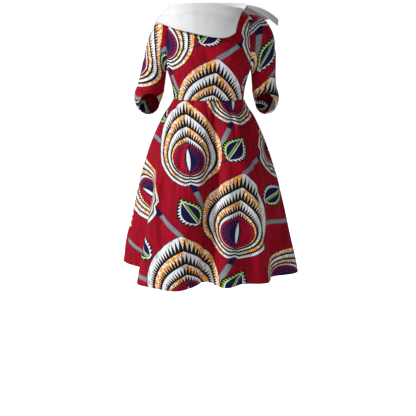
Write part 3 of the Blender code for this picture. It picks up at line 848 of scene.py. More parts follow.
@dataclass(frozen=True)
class Stitching:
    """A row of machine stitches: short threads in line that sink into the cloth at both ends.

    A thread is made of rings. Their places and sizes are shares of half its length and width, and
    their sinks of its half height. Its way is taken between two points of the line at the glance's
    distance before and behind it.
    """

    pitch: float = 0.0042
    length: float = 0.0033
    half_width: float = 0.00038
    half_height: float = 0.00030
    lift: float = 0.00008
    glance: float = 0.0005
    sides: int = 6
    ring_places: tuple[float, ...] = (-1.0, -0.72, 0.72, 1.0)
    ring_sizes: tuple[float, ...] = (0.30, 1.0, 1.0, 0.30)
    ring_sinks: tuple[float, ...] = (-1.3, 0.0, 0.0, -1.3)
    first_end: tuple[tuple[int, ...], ...] = ((0, 3, 2, 1), (0, 5, 4, 3))
    last_end: tuple[tuple[int, ...], ...] = ((0, 1, 2, 3), (0, 3, 4, 5))

    def _thread(self) -> tuple[FloatArray, IntArray]:
        """One stitch: its points along, across and above the line, and its faces."""
        turn = np.arange(self.sides) * 2.0 * math.pi / self.sides
        rings = []
        for place, size, sink in zip(self.ring_places, self.ring_sizes, self.ring_sinks):
            along = np.full(self.sides, place * self.length / 2.0)
            across = np.cos(turn) * size * self.half_width
            above = np.sin(turn) * size * self.half_height + sink * self.half_height + self.lift
            rings.append(np.stack([along, across, above], axis=1))
        ids = np.arange(len(rings) * self.sides).reshape(len(rings), self.sides)
        beside = np.roll(ids, -1, axis=1)
        walls = np.stack([ids[:-1], beside[:-1], beside[1:], ids[1:]], axis=2).reshape(-1, 4)
        ends = [ids[0][np.array(self.first_end)], ids[-1][np.array(self.last_end)]]
        return np.concatenate(rings), np.concatenate([walls, *ends])

    def _sewn(self, line: FloatArray, thread: FloatArray) -> FloatArray:
        """Points of every stitch along one line of points and normals."""
        walked = np.append(0.0, np.cumsum(np.linalg.norm(np.diff(line[:, :3], axis=0), axis=1)))
        number = int(walked[-1] / self.pitch)
        middles = (np.arange(number) + 0.5) * walked[-1] / number
        spot, ahead, behind = (
            np.stack([np.interp(middles + step, walked, column) for column in line.T], axis=1)
            for step in (0.0, self.glance, -self.glance)
        )
        along = (ahead - behind)[:, :3]
        along = along / np.linalg.norm(along, axis=1, keepdims=True)
        normal = spot[:, 3:] / np.linalg.norm(spot[:, 3:], axis=1, keepdims=True)
        ways = np.stack([along, np.cross(normal, along), normal], axis=1)
        return spot[:, None, :3] + np.einsum("tk,nkc->ntc", thread, ways)

    def build(
        self, name: str, lines: list[FloatArray], material: bpy.types.Material, slot: str
    ) -> bpy.types.Object:
        """Sew along lines of points and normals.

        Args:
            name: The object's name.
            lines: The lines.
            material: The thread's finish.
            slot: Not used.

        Returns:
            One object with all the stitches.
        """
        thread, faces = self._thread()
        stitches = np.concatenate([self._sewn(line, thread) for line in lines])
        starts = np.arange(len(stitches)) * len(thread)
        quads = (faces + starts[:, None, None]).reshape(-1, 4)
        points = stitches.reshape(-1, 3)
        corners = points[quads].reshape(-1, 3)
        piece = mesh_object(name, points, quads, corners[:, [0, 2]], material)
        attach(piece, "root")
        return piece


HEM_STITCHING = Stitching()
CUFF_STITCHING = Stitching(pitch=0.0036, length=0.0028)
COLLAR_STITCHING = Stitching(pitch=0.0038, length=0.0029)


# Arithmetic in material nodes


class Signal:
    """A number that a node gives out. Arithmetic on it adds Math nodes to the same tree."""

    def __init__(self, tree: bpy.types.NodeTree, socket: bpy.types.NodeSocket) -> None:
        """Keep the tree and the socket."""
        self.tree = tree
        self.socket = socket

    def math(self, operation: str, *others: Signal | float, clamp: bool = False) -> Signal:
        """Add one Math node.

        Args:
            operation: The node's operation.
            others: Its further inputs.
            clamp: True to keep the result between zero and one.

        Returns:
            The node's result.
        """
        node = self.tree.nodes.new("ShaderNodeMath")
        node.operation = operation
        node.use_clamp = clamp
        for slot, value in enumerate((self, *others)):
            if isinstance(value, Signal):
                self.tree.links.new(value.socket, node.inputs[slot])
            else:
                node.inputs[slot].default_value = value
        return Signal(self.tree, node.outputs[0])

    def __add__(self, other: Signal | float) -> Signal:
        """Sum."""
        return self.math("ADD", other)

    def __sub__(self, other: Signal | float) -> Signal:
        """Difference."""
        return self.math("SUBTRACT", other)

    def __rsub__(self, other: float) -> Signal:
        """Difference from a plain number."""
        return self.math("MULTIPLY_ADD", -1.0, other)

    def __mul__(self, other: Signal | float) -> Signal:
        """Product."""
        return self.math("MULTIPLY", other)

    def __truediv__(self, other: Signal | float) -> Signal:
        """Quotient."""
        return self.math("DIVIDE", other)

    def absolute(self) -> Signal:
        """Size without its sign."""
        return self.math("ABSOLUTE")

    def least(self, other: Signal | float) -> Signal:
        """The smaller of two."""
        return self.math("MINIMUM", other)

    def most(self, other: Signal | float) -> Signal:
        """The larger of two."""
        return self.math("MAXIMUM", other)

    def wrapped(self, half: float) -> Signal:
        """Repeat the number over a range of this half length round zero."""
        return self.math("WRAP", half, -half)

    def over(self, edge: Signal | float) -> Signal:
        """One where the number is over an edge, else zero."""
        return self.math("GREATER_THAN", edge)

    def below(self, edge: Signal | float, blur: float) -> Signal:
        """One well below an edge and zero well above it, with a straight ramp of the blur's width."""
        return (self - edge).math("MULTIPLY_ADD", -1.0 / blur, 0.5, clamp=True)

    def above(self, edge: Signal | float, blur: float) -> Signal:
        """One well above an edge and zero well below it, with a straight ramp of the blur's width."""
        return (self - edge).math("MULTIPLY_ADD", 1.0 / blur, 0.5, clamp=True)

    def zigzag(self, count: float) -> Signal:
        """Triangular wave from zero to one and back, with this many waves in a unit."""
        return (self * count).math("PINGPONG", 0.5) * 2.0

    def pick(self, where_zero: Signal, where_one: Signal) -> Signal:
        """Take one of two numbers, by this one as the switch."""
        node = self.tree.nodes.new("ShaderNodeMix")
        node.data_type = "FLOAT"
        node.clamp_factor = False
        self.tree.links.new(self.socket, node.inputs[0])
        self.tree.links.new(where_zero.socket, node.inputs[2])
        self.tree.links.new(where_one.socket, node.inputs[3])
        return Signal(self.tree, node.outputs[0])


Colour = tuple[float, float, float]


class Ink:
    """A colour in a node tree. Laying another over it adds a Mix node."""

    def __init__(
        self, tree: bpy.types.NodeTree, socket: bpy.types.NodeSocket | None, plain: Colour
    ) -> None:
        """Keep the tree, and the socket or the plain colour."""
        self.tree = tree
        self.socket = socket
        self.plain = plain

    def _feed(self, target: bpy.types.NodeSocket) -> None:
        """Give the colour to a socket."""
        if self.socket is None:
            target.default_value = (*self.plain, 1.0)
        else:
            self.tree.links.new(self.socket, target)

    def under(self, other: Ink | Colour, share: Signal) -> Ink:
        """Lay another colour over this one by its share."""
        node = self.tree.nodes.new("ShaderNodeMix")
        node.data_type = "RGBA"
        self.tree.links.new(share.socket, node.inputs[0])
        self._feed(node.inputs[6])
        top = other if isinstance(other, Ink) else Ink(self.tree, None, other)
        top._feed(node.inputs[7])
        return Ink(self.tree, node.outputs[2], (0.0, 0.0, 0.0))


# Woven cloth


class Grain(NamedTuple):
    """One layer of noise on the flat cloth, which shows past its edge, with a ramp of its blur's width."""

    scale: float
    detail: float
    flatness: float
    edge: float
    blur: float
    strength: float


@dataclass(frozen=True)
class Finish:
    """Hand of a plain woven cotton.

    Attributes:
        roughness: Mean roughness.
        sheen: Weight of the sheen.
        rumple: Depth of the small rumples.
        weave: Depth of the weave.
        slub: Depth of the slubs.
        slub_scale: Scale of the slubs.
        rumple_scale: Scale of the rumples.
        slub_roughness: How far the slubs change the roughness.
        sheen_roughness: Roughness of the sheen.
        specular: Level of the reflection.
        relief: Strength with which the heights show.
    """

    roughness: float
    sheen: float
    rumple: float
    weave: float = 0.00004
    slub: float = 0.00010
    slub_scale: float = 260.0
    rumple_scale: float = 34.0
    slub_roughness: float = 0.14
    sheen_roughness: float = 0.45
    specular: float = 0.08
    relief: float = 0.8


class ClothNodes:
    """A material and its node tree, drawn on the places of the flat cloth."""

    def __init__(self, name: str) -> None:
        """Make the material, and the nodes that read the place on the flat cloth."""
        self.material = bpy.data.materials.new(name)
        self.material.use_nodes = True
        self.tree = self.material.node_tree
        self.shader = self.tree.nodes["Principled BSDF"]
        self.place = self.tree.nodes.new("ShaderNodeUVMap")
        self.place.uv_map = CLOTH_MAP
        split = self.tree.nodes.new("ShaderNodeSeparateXYZ")
        self.tree.links.new(self.place.outputs[0], split.inputs[0])
        self.u = Signal(self.tree, split.outputs[0])
        self.v = Signal(self.tree, split.outputs[1])

    def noise(self, scale: float, detail: float = 2.0, flatness: float = 1.0) -> Signal:
        """Noise on the flat cloth, drawn out lengthwise where its flatness is under one."""
        place = self.place
        if flatness < 1.0:
            place = self.tree.nodes.new("ShaderNodeMapping")
            place.inputs["Scale"].default_value = (1.0, flatness, 1.0)
            self.tree.links.new(self.place.outputs[0], place.inputs["Vector"])
        node = self.tree.nodes.new("ShaderNodeTexNoise")
        node.inputs["Scale"].default_value = scale
        node.inputs["Detail"].default_value = detail
        self.tree.links.new(place.outputs[0], node.inputs["Vector"])
        return Signal(self.tree, node.outputs[0])

    def grain(self, grain: Grain) -> Signal:
        """How much of a layer of noise shows."""
        noise = self.noise(grain.scale, grain.detail, grain.flatness)
        return noise.above(grain.edge, grain.blur) * grain.strength

    def paint(self, colour: Ink) -> None:
        """Give the shader its colour."""
        self.tree.links.new(colour.socket, self.shader.inputs["Base Color"])

    def weave(self, finish: Finish) -> None:
        """Give the shader the hand of plain woven cotton: fine weave, slubs and a soft sheen."""
        threads = 2.0 * math.pi / THREAD_PITCH
        weave = (self.u * threads).math("SINE") * (self.v * threads).math("SINE")
        slubs = self.noise(finish.slub_scale)
        rumples = self.noise(finish.rumple_scale)
        bump = self.tree.nodes.new("ShaderNodeBump")
        bump.inputs["Strength"].default_value = finish.relief
        bump.inputs["Distance"].default_value = 1.0
        height = weave * finish.weave + slubs * finish.slub + rumples * finish.rumple
        self.tree.links.new(height.socket, bump.inputs["Height"])
        self.tree.links.new(bump.outputs[0], self.shader.inputs["Normal"])
        least = finish.roughness - finish.slub_roughness / 2.0
        roughness = slubs * finish.slub_roughness + least
        self.tree.links.new(roughness.socket, self.shader.inputs["Roughness"])
        self.shader.inputs["Sheen Weight"].default_value = finish.sheen
        self.shader.inputs["Sheen Roughness"].default_value = finish.sheen_roughness
        self.shader.inputs["Specular IOR Level"].default_value = finish.specular


# The print


class Strap(NamedTuple):
    """A straight stem, with a navy block at its start.

    Both ends are places from the middle of its upright medallion.
    """

    start: Spot
    end: Spot
    block: float


@dataclass(frozen=True)
class Repeat:
    """Layout of the cloth's repeat.

    The design is one group of motifs and its mirror image, which is set half a repeat higher. Both
    are repeated across and up, and the whole is slanted a little. Leans are in degrees from upright,
    outwards.
    """

    width: float = 0.950
    height: float = 0.511
    slant: float = 0.144
    column: float = 0.084
    upright_lean: float = 6.0
    sideways: Spot = Spot(0.203, 0.322)
    sideways_lean: float = 84.0
    inner_leaf: Spot = Spot(-0.166, 0.062)
    inner_leaf_lean: float = -32.0
    outer_leaf: Spot = Spot(0.166, 0.148)
    outer_leaf_lean: float = 60.0
    stems: tuple[Strap, ...] = (
        Strap(Spot(-0.010, -0.085), Spot(-0.063, -0.204), 0.034),
        Strap(Spot(0.118, 0.304), Spot(0.022, 0.225), 0.030),
        Strap(Spot(0.110, 0.036), Spot(0.250, 0.046), 0.000),
        Strap(Spot(0.250, 0.046), Spot(0.370, 0.098), 0.000),
    )
    twigs: tuple[Strap, ...] = (
        Strap(Spot(-0.140, 0.018), Spot(-0.100, -0.004), 0.0),
        Strap(Spot(0.122, 0.124), Spot(0.092, 0.112), 0.0),
    )


@dataclass(frozen=True)
class Drop:
    """Shape of a medallion, a drop with a notch at its foot.

    Away from the tip, its reach falls from its full length to the foot's share of that by a power of
    the turn still left.
    """

    reach: float = 0.232
    foot: float = 0.440
    power: float = 3.1
    notch: float = 0.050
    notch_turn: float = 0.070
    core_reach: float = 0.062
    core_foot: float = 0.870
    core_power: float = 12.0
    bands: int = 4
    band_growth: float = 1.35

    def band_levels(self) -> list[float]:
        """Levels where the inner bands end, of growing width."""
        return [(number / self.bands) ** self.band_growth for number in range(1, self.bands)]


@dataclass(frozen=True)
class PrintInks:
    """Colours of the print, in linear light."""

    crimson: Colour = (0.345, 0.0010, 0.0150)
    deep_crimson: Colour = (0.175, 0.0005, 0.0080)
    navy: Colour = (0.0075, 0.0060, 0.0520)
    black: Colour = (0.0045, 0.0045, 0.0075)
    white: Colour = (0.720, 0.730, 0.745)
    shade: Colour = (0.300, 0.305, 0.320)
    orange: Colour = (0.790, 0.300, 0.020)
    lime: Colour = (0.290, 0.600, 0.040)
    stem: Colour = (0.330, 0.330, 0.360)
    stem_dark: Colour = (0.050, 0.050, 0.075)


@dataclass(frozen=True)
class Stripes:
    """Stems and twigs: their sizes, and the dark and pale stripes across a stem."""

    half_width: float = 0.0100
    rim: float = 0.0080
    twig_half_width: float = 0.0026
    count: float = 210.0
    slant: float = 0.5
    edge: float = 0.42
    blur: float = 0.4


@dataclass(frozen=True)
class Leaf:
    """Shape of a leaf, whose half width follows half a sine wave, fuller towards its base.

    Depths are measured in from the outline. The teeth begin there and end within the border, and
    the heart lies inside it, with a lime glow beside a dark rib that has a white slit.
    """

    length: float = 0.118
    half_width: float = 0.046
    fullness: float = 0.82
    teeth: float = 12.0
    border: float = 0.0125
    tooth_height: float = 1.10
    tooth_foot: float = 0.18
    tooth_blur: float = 0.16
    lime_across: float = 26.0
    lime_along: float = 0.9
    lime_edge: float = 0.25
    lime_blur: float = 0.5
    line_depth: float = 0.0145
    line_half_width: float = 0.0014
    heart_depth: float = 0.0165
    glow_depth: float = 0.0190
    glow_aside: float = 0.0065
    glow_half_width: float = 0.0030
    glow_blur: float = 0.003
    glow_end: float = 0.72
    glow_end_blur: float = 0.2
    glow_strength: float = 0.8
    rib_half_width: float = 0.0042
    rib_blur: float = 0.004
    slit_half_width: float = 0.0016
    slit_middle: float = 0.48
    slit_half_length: float = 0.40
    slit_blur: float = 0.02
    rim: float = 1.5


@dataclass(frozen=True)
class Bands:
    """Bands of a medallion: the black comb on each, the orange on the warm ones, and their edges.

    The first band has the fewest teeth. A tooth's height is a share of its band's width, and is
    greater at the tip.
    """

    first_teeth: float = 24.0
    more_teeth: tuple[float, ...] = (7.0, 6.0, 8.0)
    height: float = 0.42
    tip_height: float = 0.42
    tip_power: float = 5.0
    comb: float = 0.95
    comb_foot: float = 0.10
    comb_blur: float = 0.16
    warm_turn: float = 0.90
    warm_blur: float = 0.25
    core_blur: float = 0.010
    rim_blur: float = 0.006


@dataclass(frozen=True)
class Core:
    """Core of a medallion: strokes between hub and rim, and a white slit in a navy lens.

    Hub, rim and middle are shares of the core's outline. What is named for the right half is added
    there. The lens and the slit have a half height and a half width.
    """

    strokes: float = 12.0
    stroke_edge: float = 0.14
    stroke_edge_right: float = 0.34
    stroke_blur: float = 0.25
    middle: float = 0.52
    rim: float = 0.93
    rim_right: float = -0.06
    hub: float = -0.10
    hub_right: float = 0.82
    blur: float = 0.05
    lens: tuple[float, float] = (0.047, 0.0150)
    slit: tuple[float, float] = (0.041, 0.0066)


# Layers of noise in the print: scale, detail, flatness, edge, blur and strength
STREAKS = Grain(110.0, 3.0, 0.10, 0.54, 0.20, 0.75)
CLOUDS = Grain(11.0, 3.0, 0.60, 0.56, 0.30, 0.60)
VEINS = Grain(46.0, 4.0, 0.35, 0.006, 0.010, 0.80)
BLOTCHES = Grain(125.0, 4.0, 0.70, 0.475, 0.05, 1.00)
SCRATCHES = Grain(150.0, 2.0, 0.25, 0.60, 0.08, 0.70)

Half = tuple[Signal, Signal]


@dataclass(frozen=True)
class WaxPrint:
    """The wax print: its motifs as formulas on the cloth's flat places, and the cotton under them."""

    repeat: Repeat = Repeat()
    drop: Drop = Drop()
    stripes: Stripes = Stripes()
    leaf: Leaf = Leaf()
    bands: Bands = Bands()
    core: Core = Core()
    inks: PrintInks = PrintInks()
    blur: float = 0.0008
    line: float = 0.0029

    def material(self, name: str) -> bpy.types.Material:
        """Make the print's material.

        Args:
            name: The material's name.

        Returns:
            A material that reads the cloth's UV map.
        """
        nodes = ClothNodes(name)
        u = nodes.u
        v = u * self.repeat.slant + nodes.v
        halves = [(u, v), (u * -1.0, v - self.repeat.height / 2.0)]
        colour = self._ground(nodes)
        colour = self._stems(colour, halves)
        colour = self._leaves(colour, halves)
        colour = self._medallions(colour, halves, nodes)
        nodes.paint(colour)
        nodes.weave(Finish(roughness=0.70, sheen=0.015, rumple=0.00055))
        return nodes.material

    def _ground(self, nodes: ClothNodes) -> Ink:
        """Crimson ground with faint lengthwise streaks and the fine veins of cracked wax."""
        deep = self.inks.deep_crimson
        ground = Ink(nodes.tree, None, self.inks.crimson)
        ground = ground.under(deep, nodes.grain(STREAKS)).under(deep, nodes.grain(CLOUDS))
        veins = (nodes.noise(VEINS.scale, VEINS.detail, VEINS.flatness) - 0.5).absolute()
        return ground.under(deep, veins.below(VEINS.edge, VEINS.blur) * VEINS.strength)

    def _local(self, half: Half, spot: Spot, lean: float) -> tuple[Signal, Signal]:
        """Place in a motif's own frame, where up is its tip's way.

        The distance from the motif is wrapped over the repeat, then turned by its lean.
        """
        u, v = half
        off_u = (u - (self.repeat.column + spot.u)).wrapped(self.repeat.width / 2.0)
        off_v = (v - spot.v).wrapped(self.repeat.height / 2.0)
        sine, cosine = math.sin(math.radians(lean)), math.cos(math.radians(lean))
        return off_u * cosine - off_v * sine, off_u * sine + off_v * cosine

    def _nearest(
        self,
        halves: list[Half],
        motifs: Sequence[tuple[Spot, float]],
        measure: Callable[[Signal, Signal], Signal],
    ) -> tuple[Signal, Signal]:
        """Place in the frame of the motif whose measure is the lowest there."""
        best = None
        for half in halves:
            for spot, lean in motifs:
                x, y = self._local(half, spot, lean)
                found = measure(x, y)
                if best is None:
                    best = found, x, y
                    continue
                switch = best[0].over(found)
                best = best[0].least(found), switch.pick(best[1], x), switch.pick(best[2], y)
        return best[1], best[2]

    def _along(self, half: Half, strap: Strap) -> tuple[Signal, Signal, Signal]:
        """Size of the place beside a strap, the place along it, and whether that lies on it."""
        step_u, step_v = strap.end.u - strap.start.u, strap.end.v - strap.start.v
        middle = Spot(strap.start.u + step_u / 2.0, strap.start.v + step_v / 2.0)
        length = math.hypot(step_u, step_v)
        across, along = self._local(half, middle, math.degrees(math.atan2(step_u, step_v)))
        on_it = along.absolute().below(length / 2.0, self.blur)
        return across.absolute(), along + length / 2.0, on_it

    def _stems(self, colour: Ink, halves: list[Half]) -> Ink:
        """Lay the thin twigs and the striped stems over the ground."""
        inks, look = self.inks, self.stripes
        for half in halves:
            for twig in self.repeat.twigs:
                aside, _, on_it = self._along(half, twig)
                on_it = on_it * aside.below(look.twig_half_width, self.blur)
                colour = colour.under(inks.navy, on_it)
            for stem in self.repeat.stems:
                aside, along, on_it = self._along(half, stem)
                on_it = on_it * aside.below(look.half_width, self.blur)
                stripe = (aside * look.slant + along).zigzag(look.count).above(look.edge, look.blur)
                stripe = stripe * aside.below(look.rim, self.blur)
                colour = colour.under(inks.stem_dark, on_it).under(inks.stem, on_it * stripe)
                if stem.block > 0.0:
                    colour = colour.under(inks.navy, on_it * along.below(stem.block, self.blur))
        return colour

    def _leaves(self, colour: Ink, halves: list[Half]) -> Ink:
        """Lay the leaves over it: a toothed lime and white border round a dark heart and a pale rib."""
        repeat, inks, look = self.repeat, self.inks, self.leaf
        motifs = (
            (repeat.inner_leaf, repeat.inner_leaf_lean),
            (repeat.outer_leaf, repeat.outer_leaf_lean),
        )
        x, y = self._nearest(halves, motifs, lambda x, y: x * x + y * y)
        share = (y * (1.0 / look.length) + 0.5).most(0.0).least(1.0)
        width = (share.math("POWER", look.fullness) * math.pi).math("SINE") * look.half_width
        aside = x.absolute()
        depth = width - aside
        lime = (x * look.lime_across + share * look.lime_along).above(look.lime_edge, look.lime_blur)
        leaf = Ink(x.tree, None, inks.white).under(inks.lime, lime)
        teeth = share.zigzag(look.teeth) * look.tooth_height + look.tooth_foot
        leaf = leaf.under(inks.black, (depth * (1.0 / look.border)).below(teeth, look.tooth_blur))
        line = (depth - look.line_depth).absolute().below(look.line_half_width, self.blur)
        leaf = leaf.under(inks.white, line)
        leaf = leaf.under(inks.navy, depth.above(look.heart_depth, self.blur))
        glow = (x - look.glow_aside).absolute().below(look.glow_half_width, look.glow_blur)
        glow = depth.above(look.glow_depth, look.rib_blur) * glow
        glow = glow * share.below(look.glow_end, look.glow_end_blur) * look.glow_strength
        leaf = leaf.under(inks.lime, glow)
        rib = aside.below(look.rib_half_width, self.blur) * depth.above(look.heart_depth, look.rib_blur)
        leaf = leaf.under(inks.black, rib)
        slit = (share - look.slit_middle).absolute().below(look.slit_half_length, look.slit_blur)
        leaf = leaf.under(inks.white, aside.below(look.slit_half_width, self.blur) * slit)
        leaf = leaf.under(inks.black, depth.below(self.line * look.rim, self.blur))
        return colour.under(leaf, depth.above(0.0, self.blur))

    def _outline(self, x: Signal, y: Signal) -> tuple[Signal, Signal, Signal, Signal]:
        """Distance from a medallion's middle, half turns from its tip, its reach and its core's."""
        drop = self.drop
        away = (x * x + y * y).math("SQRT")
        turn = x.absolute().math("ARCTAN2", y) * (1.0 / math.pi)
        left = 1.0 - turn
        reach = left.math("POWER", drop.power) * (1.0 - drop.foot) + drop.foot
        reach = reach - (1.0 - left * (1.0 / drop.notch_turn)).most(0.0) * drop.notch
        core = left.math("POWER", drop.core_power) * (1.0 - drop.core_foot) + drop.core_foot
        return away, turn, reach * drop.reach, core * drop.core_reach

    def _closeness(self, x: Signal, y: Signal) -> Signal:
        """Distance from a medallion's middle as a share of its reach that way."""
        away, _, reach, _ = self._outline(x, y)
        return away / reach

    def _medallions(self, colour: Ink, halves: list[Half], nodes: ClothNodes) -> Ink:
        """Lay the medallions over it, in nested bands whose halves take turns in white and orange.

        A medallion is read by its level: zero on the core's outline, one on its own, and in between
        by the share of the way from one to the other along a ray from its middle.
        """
        repeat, inks, look = self.repeat, self.inks, self.bands
        motifs = ((Spot(0.0, 0.0), repeat.upright_lean), (repeat.sideways, repeat.sideways_lean))
        x, y = self._nearest(halves, motifs, self._closeness)
        away, turn, reach, core = self._outline(x, y)
        span = reach - core
        level = (away - core) / span
        levels = [0.0, *self.drop.band_levels(), 1.0]
        widths = np.diff(levels).tolist()
        past = [level.over(edge) for edge in levels[1:-1]]
        low = level * 0.0
        width = level * 0.0 + widths[0]
        teeth = level * 0.0 + look.first_teeth
        for number, passed in enumerate(past):
            low = low + passed * widths[number]
            width = width + passed * (widths[number + 1] - widths[number])
            teeth = teeth + passed * look.more_teeth[number]
        rise = (level - low) / width
        edge = rise.least(1.0 - rise) * width * span
        odd = (past[0] + past[1] + past[2]).math("PINGPONG", 1.0)
        warm = (odd - x.over(0.0)).absolute()
        orange = warm * nodes.grain(BLOTCHES) * turn.below(look.warm_turn, look.warm_blur)
        band = Ink(x.tree, None, inks.white)
        band = band.under(inks.shade, (1.0 - warm) * nodes.grain(SCRATCHES))
        band = band.under(inks.orange, orange)
        comb = (turn * teeth).math("PINGPONG", 0.5) * 2.0 * look.comb + look.comb_foot
        height = (1.0 - turn).math("POWER", look.tip_power) * look.tip_height + look.height
        band = band.under(inks.black, (rise / height).below(comb, look.comb_blur))
        band = band.under(inks.black, edge.below(self.line, self.blur))
        heart = self._core(x, y, away / core, turn)
        medallion = band.under(heart, level.below(0.0, look.core_blur))
        return colour.under(medallion, level.below(1.0, look.rim_blur))

    def _core(self, x: Signal, y: Signal, part: Signal, turn: Signal) -> Ink:
        """Core with a white slit in a navy lens: one half navy with crimson strokes, one the other way.

        Lens and slit are where the distance from the axis is less than a parabola of the height.
        """
        inks, look = self.inks, self.core
        right = x.over(0.0)
        edge = right * look.stroke_edge_right + look.stroke_edge
        strokes = turn.zigzag(look.strokes).above(edge, look.stroke_blur)
        strokes = strokes.most(part.below(look.middle, look.blur) * (1.0 - right))
        inside = part.below(right * look.rim_right + look.rim, look.blur)
        outside = part.above(right * look.hub_right + look.hub, look.blur)
        core = Ink(x.tree, None, inks.crimson).under(inks.navy, inside * outside * strokes)
        for (half_height, half_width), ink in ((look.lens, inks.navy), (look.slit, inks.white)):
            up = y * (1.0 / half_height)
            lens = (1.0 - up * up) * half_width - x.absolute()
            core = core.under(ink, lens.above(0.0, self.blur))
        return core


@dataclass(frozen=True)
class WhiteCloth:
    """Smooth matt white cloth of the collar, with faint clouds."""

    colour: Colour = (0.66, 0.66, 0.665)
    shade: Colour = (0.58, 0.58, 0.59)
    cloud_scale: float = 18.0
    cloud_blur: float = 0.6
    cloud_strength: float = 0.5

    def material(self, name: str) -> bpy.types.Material:
        """Make the material."""
        nodes = ClothNodes(name)
        clouds = nodes.noise(self.cloud_scale).above(0.5, self.cloud_blur) * self.cloud_strength
        nodes.paint(Ink(nodes.tree, None, self.colour).under(self.shade, clouds))
        nodes.weave(Finish(roughness=0.78, sheen=0.03, rumple=0.0003))
        return nodes.material


@dataclass(frozen=True)
class Thread:
    """Twisted sewing thread: slanted bands of light and shade, as two plies that run round each other."""

    colour: Colour
    twist_pitch: float = 0.0006
    shade: float = 0.85
    roughness: float = 0.55
    specular: float = 0.3

    def material(self, name: str) -> bpy.types.Material:
        """Make the material."""
        nodes = ClothNodes(name)
        ply = ((nodes.u + nodes.v) * (2.0 * math.pi / self.twist_pitch)).math("SINE")
        darker = tuple(part * self.shade for part in self.colour)
        nodes.paint(Ink(nodes.tree, None, self.colour).under(darker, ply.below(0.0, 1.0)))
        nodes.shader.inputs["Roughness"].default_value = self.roughness
        nodes.shader.inputs["Specular IOR Level"].default_value = self.specular
        return nodes.material


@dataclass(frozen=True)
class Finishes:
    """Materials of the dress."""

    print_cloth: bpy.types.Material
    print_thread: bpy.types.Material
    white_cloth: bpy.types.Material
    white_thread: bpy.types.Material


# The pieces


